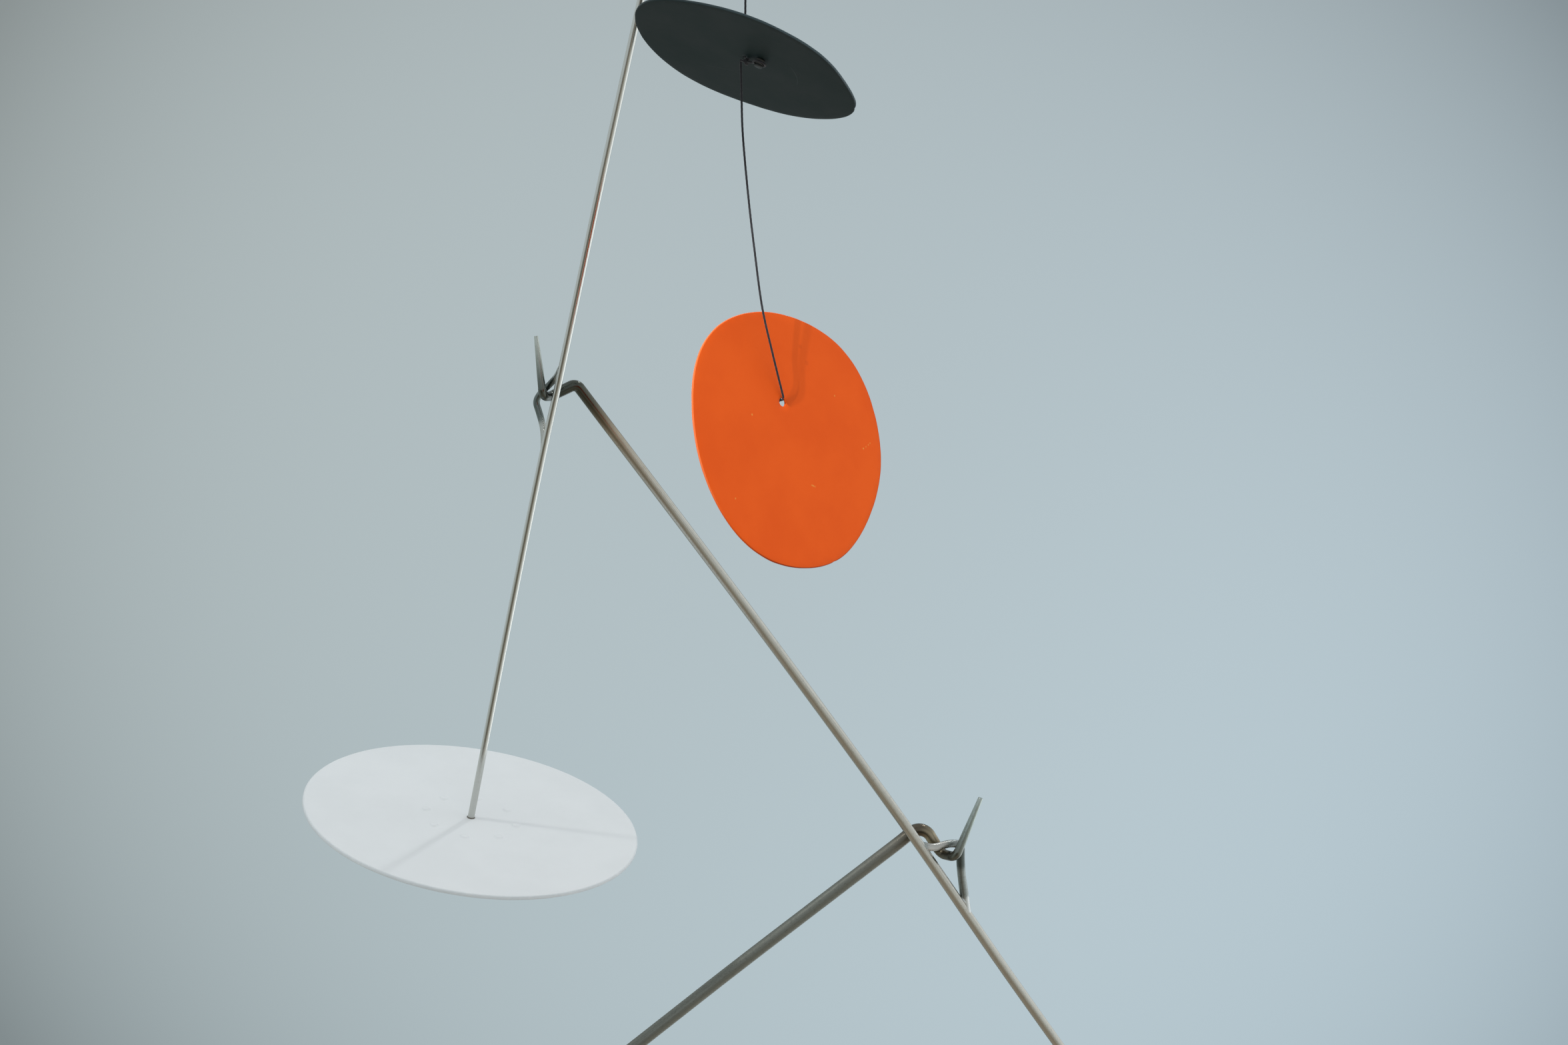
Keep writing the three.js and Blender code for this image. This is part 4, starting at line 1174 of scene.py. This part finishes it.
# weights at the arms' far ends
def weight(name, end, direction, radius, thick, bar_r, node, mat):
    d = Disc((0, 0, 0), tuple(direction))
    d.c = down(tuple(end)) + V(direction) * GAP
    prof = rounded([(0, 0), (radius, 0), (radius, thick), (0, thick)], 1.3, 5)
    mid = []
    for r in [radius * k / 8 for k in range(1, 8)]:
        mid.append((r, 0))
    prof = [prof[0]] + mid + prof[1:-1] + [(r, thick) for r, _ in reversed(mid)] + [prof[-1]]
    ob = lathe(name, d, prof, mat, 120)
    keep(ob, "black_weight", node)
    # weld bead round the bar's end
    beads = []
    m = 26
    for i in range(m):
        a = 2 * math.pi * i / m
        c = d.c + d.u * ((bar_r + 0.5) * math.cos(a)) + d.v * ((bar_r + 0.5) * math.sin(a)) - d.n * 0.5
        rot = Matrix((d.u * math.cos(a) + d.v * math.sin(a), -d.u * math.sin(a) + d.v * math.cos(a), d.n)).transposed()
        beads.append(blob(c, (1.9, 1.25, 1.35), rot, seg=12, seed=i * 1.3, rough=0.3))
    w = welded(name.replace("_piece", "_weld"), beads, bead_mat, voxel=0.4, smooth=2)
    keep(w, "dark_steel")
    return ob


bead_mat = weld_steel("weld_bead_steel", (0.40, 0.37, 0.34), [(tuple(down(tuple(LOWER_END))), 9, (0.26, 0.22, 0.22)), (tuple(down(tuple(MIDDLE_END))), 8, (0.34, 0.27, 0.18))], rough=0.33)
weight("middle_weight_piece", MIDDLE_END, MIDDLE_DIR, 62, 4.75, 3.25, "middle_weight", weight_mat)
weight("lower_weight_piece", LOWER_END, LOWER_DIR, 100, 10, 4, "lower_weight", weight_mat)

# foot of the upper arm: a thin dark ring of low beads on the white disc, painted shade where the bar meets the disc
foot_shade_mat = weld_steel("foot_ring_painted_shade_steel", (0.20, 0.19, 0.17), [], rough=0.35)
foot_shade_beads = []
for i in range(18):
    a = 2 * math.pi * i / 18
    c = WHITE.at(FOOT[0] + 2.05 * math.cos(a), FOOT[1] + 2.05 * math.sin(a), 0.02)
    rot = Matrix((WHITE.u * math.cos(a) + WHITE.v * math.sin(a), -WHITE.u * math.sin(a) + WHITE.v * math.cos(a), WHITE.n)).transposed()
    foot_shade_beads.append(blob(c, (0.55, 0.6, 0.5), rot, seg=12, seed=i * 0.9, rough=0.25))
foot_shade_ring = welded("upper_arm_foot_shade_ring", foot_shade_beads, foot_shade_mat, voxel=0.16, smooth=2)
keep(foot_shade_ring, "bright_steel")

# ceiling plate
PLATE = Disc((0, 0, 0), (0, 0, 1))
PLATE.c = Vector((0, 0, 0))
plate_holes = []
for i in range(3):
    a = math.pi / 2 + 2 * math.pi * i / 3
    plate_holes.append((30 * math.cos(a), 30 * math.sin(a), 2.6, 0.25))
plate = sheet("ceiling_plate_piece", PLATE, outline(42.0, [], 160), 0.0, -6.0, plate_steel("ceiling_plate_steel"), holes=plate_holes, grid=6.0, rim=0.8, hole_rim=1.2)
keep(plate, "dark_steel", "ceiling_plate")
rod_beads = []
for i in range(24):
    a = 2 * math.pi * i / 24
    c = Vector((4.5 * math.cos(a), 4.5 * math.sin(a), -6.6))
    rot = Matrix((Vector((math.cos(a), math.sin(a), 0)), Vector((-math.sin(a), math.cos(a), 0)), Vector((0, 0, 1)))).transposed()
    rod_beads.append(blob(c, (1.8, 1.2, 1.5), rot, seg=12, seed=i * 1.1, rough=0.3))
plate_weld = welded("ceiling_plate_weld", rod_beads, bead_mat, voxel=0.4, smooth=2)
keep(plate_weld, "dark_steel")


# ------------------------------------------------------------------ stage and light
def stage_plane(name, centre, u, v, mat):
    c, u, v = V(centre), V(u), V(v)
    me = bpy.data.meshes.new(name)
    me.from_pydata([c - u - v, c + u - v, c + u + v, c - u + v], [], [(0, 1, 2, 3)])
    me.materials.append(mat)
    ob = bpy.data.objects.new(name, me)
    scene.collection.objects.link(ob)
    return ob


WALL_Y = 5.2
FLOOR_Z = -2.4


def wall_material():
    """A pale blue-grey wall that glows by itself, brightest near the middle and falling off towards the corners:
    painted light.
    """
    m = bpy.data.materials.new("wall_glow")
    m.use_nodes = True
    m.node_tree.nodes.clear()
    N = Nodes(m.node_tree)
    out = N.new("ShaderNodeOutputMaterial")
    e = N.new("ShaderNodeEmission")
    x, y, z = N.sep(N.place())
    k = 2.3745 / (WALL_Y + 1.4245)
    X = N.math("MULTIPLY", N.math("SUBTRACT", x, 0.532), k)
    Z = N.math("MULTIPLY", N.math("ADD", z, 0.380), k)
    r = N.math("SQRT", N.math("ADD", N.math("MULTIPLY", X, X), N.math("MULTIPLY", Z, Z)))
    shrink = N.math("DIVIDE", 1.0, N.math("MAXIMUM", N.math("DIVIDE", r, 1.02), 1.0))
    X = N.math("MULTIPLY", X, shrink)
    Z = N.math("MULTIPLY", Z, shrink)
    XX, ZZ, XZ = N.math("MULTIPLY", X, X), N.math("MULTIPLY", Z, Z), N.math("MULTIPLY", X, Z)
    rr = N.math("ADD", XX, ZZ)

    def poly(const, *terms):
        v = None
        for coefficient, socket in terms:
            t = N.math("MULTIPLY", socket, coefficient)
            v = t if v is None else N.math("ADD", v, t)
        return N.math("ADD", v, const)

    L = poly(0.5171, (0.0521, X), (-0.05, Z), (0.0276, XX), (-0.0928, XZ), (-0.0019, ZZ), (-0.2046, N.math("MULTIPLY", rr, rr)))
    tint = N.comb(poly(0.871, (-0.0257, X), (0.0255, Z)), poly(1.0293, (0.0027, X), (-0.0044, Z)), poly(1.0891, (0.049, X), (-0.0311, Z)))
    N.put(e.inputs["Color"], N.vec("SCALE", tint, scale=L))
    N.put(out.inputs[0], e.outputs[0])
    return m


def floor_material():
    m, N, b = material("floor_paint")
    p = N.place()
    c = N.mix(N.span(N.noise(p, 1.2, 3.0, 0.5), 0.3, 0.7), (0.58, 0.555, 0.52), (0.62, 0.595, 0.56))
    N.put(b.inputs["Base Color"], c)
    N.put(b.inputs["Roughness"], N.span(N.noise(p, 14.0, 3.0, 0.6), 0.2, 0.8, 0.55, 0.7))
    return m


wall = stage_plane("wall", (0.5, WALL_Y, 0.8), (3.4, 0, 0), (0, 0, 3.2), wall_material())
wall.visible_shadow = False
floor = stage_plane("floor", (0.5, -0.8, FLOOR_Z), (6.0, 0, 0), (0, 6.0, 0), floor_material())
floor.visible_glossy = False

# the room around, by direction: az runs from 0 in front (-Y) to +90 on the right
world = bpy.data.worlds.new("room")
scene.world = world
world.use_nodes = True
wt = world.node_tree
wt.nodes.clear()
N = Nodes(wt)
wout = N.new("ShaderNodeOutputWorld")
bg = N.new("ShaderNodeBackground")
N.put(wout.inputs[0], bg.outputs[0])
dx, dy, dz = N.sep(N.vec("NORMALIZE", N.new("ShaderNodeTexCoord").outputs["Generated"]))
az = N.math("MULTIPLY", N.math("ARCTAN2", dx, N.math("MULTIPLY", dy, -1.0)), 180 / math.pi)
el = N.math("MULTIPLY", N.math("ARCSINE", dz), 180 / math.pi)


def ring(stops):
    return N.ramp(N.math("DIVIDE", N.math("ADD", az, 180.0), 360.0), [((a + 180) / 360, c) for a, c in stops])


low = ring([
    (-180, (0.25, 0.26, 0.25)), (-130, (0.45, 0.50, 0.48)), (-95, (0.53, 0.59, 0.565)), (-70, (0.46, 0.51, 0.485)), (-50, (0.33, 0.35, 0.32)), (-36, (0.17, 0.155, 0.12)),
    (-14, (0.14, 0.125, 0.095)), (0, (0.24, 0.225, 0.185)), (10, (0.35, 0.335, 0.285)), (29, (0.48, 0.475, 0.42)), (50, (0.66, 0.67, 0.63)), (68, (0.82, 0.85, 0.84)),
    (86, (0.98, 1.03, 1.05)), (104, (1.45, 1.52, 1.55)), (122, (1.75, 1.84, 1.88)), (145, (1.4, 1.48, 1.52)), (165, (0.55, 0.58, 0.60)), (180, (0.25, 0.26, 0.25)),
])
high = ring([
    (-180, (0.62, 0.68, 0.70)), (-60, (0.60, 0.66, 0.67)), (-30, (0.66, 0.70, 0.72)), (30, (0.68, 0.72, 0.74)), (70, (0.82, 0.86, 0.87)), (110, (1.15, 1.2, 1.22)),
    (140, (1.05, 1.1, 1.12)), (180, (0.62, 0.68, 0.70)),
])
c = N.mix(N.span(el, -18.0, -2.0), low, high)
c = N.mix(N.span(el, 14.0, 42.0), c, (0.665, 0.705, 0.72))
c = N.mix(N.span(el, -38.0, -62.0), c, (0.42, 0.37, 0.30))
c = N.mix(N.new("ShaderNodeLightPath").outputs["Is Camera Ray"], c, (0.53, 0.58, 0.60))
N.put(bg.inputs["Color"], c)
bg.inputs["Strength"].default_value = 1.0


def lamp(name, direction_to, distance, degrees, power, colour=(1, 1, 1), target=(0.40, -0.15, -0.45), cone=None):
    """A small round lamp, degrees across as the object sees it. With a cone, it lights only what lies inside it."""
    d = V(direction_to).normalized()
    if cone:
        data = bpy.data.lights.new(name, "SPOT")
        data.spot_size = math.radians(cone)
        data.spot_blend = 0.25
        data.shadow_soft_size = distance * math.tan(math.radians(degrees / 2))
    else:
        data = bpy.data.lights.new(name, "AREA")
        data.shape = "DISK"
        data.size = 2 * distance * math.tan(math.radians(degrees / 2))
    data.energy = power
    data.color = colour
    ob = bpy.data.objects.new(name, data)
    scene.collection.objects.link(ob)
    ob.location = V(target) + d * distance
    ob.rotation_mode = "QUATERNION"
    ob.rotation_quaternion = (-d).to_track_quat("-Z", "Y")
    return ob


lamp("light_left_a", (-0.775, -0.44, 1.10), 3.2, 2.6, 5.5, (1.0, 0.99, 0.965))
lamp("light_left_b", (-0.745, -0.47, 1.12), 3.2, 2.6, 5.5, (1.0, 0.99, 0.965))
lamp("light_back_right", (0.57, 0.63, 1.13), 3.2, 3.2, 11.0, (0.98, 0.99, 1.0))
ORANGE_C = tuple(ORANGE.c * MM)
lamp("light_disc_a", (-0.475, -0.595, 0.65), 3.0, 0.6, 165.0, (1.0, 0.985, 0.96), ORANGE_C, 3.4)
lamp("light_disc_b", (-0.445, -0.605, 0.65), 3.0, 0.6, 165.0, (1.0, 0.985, 0.96), ORANGE_C, 3.4)
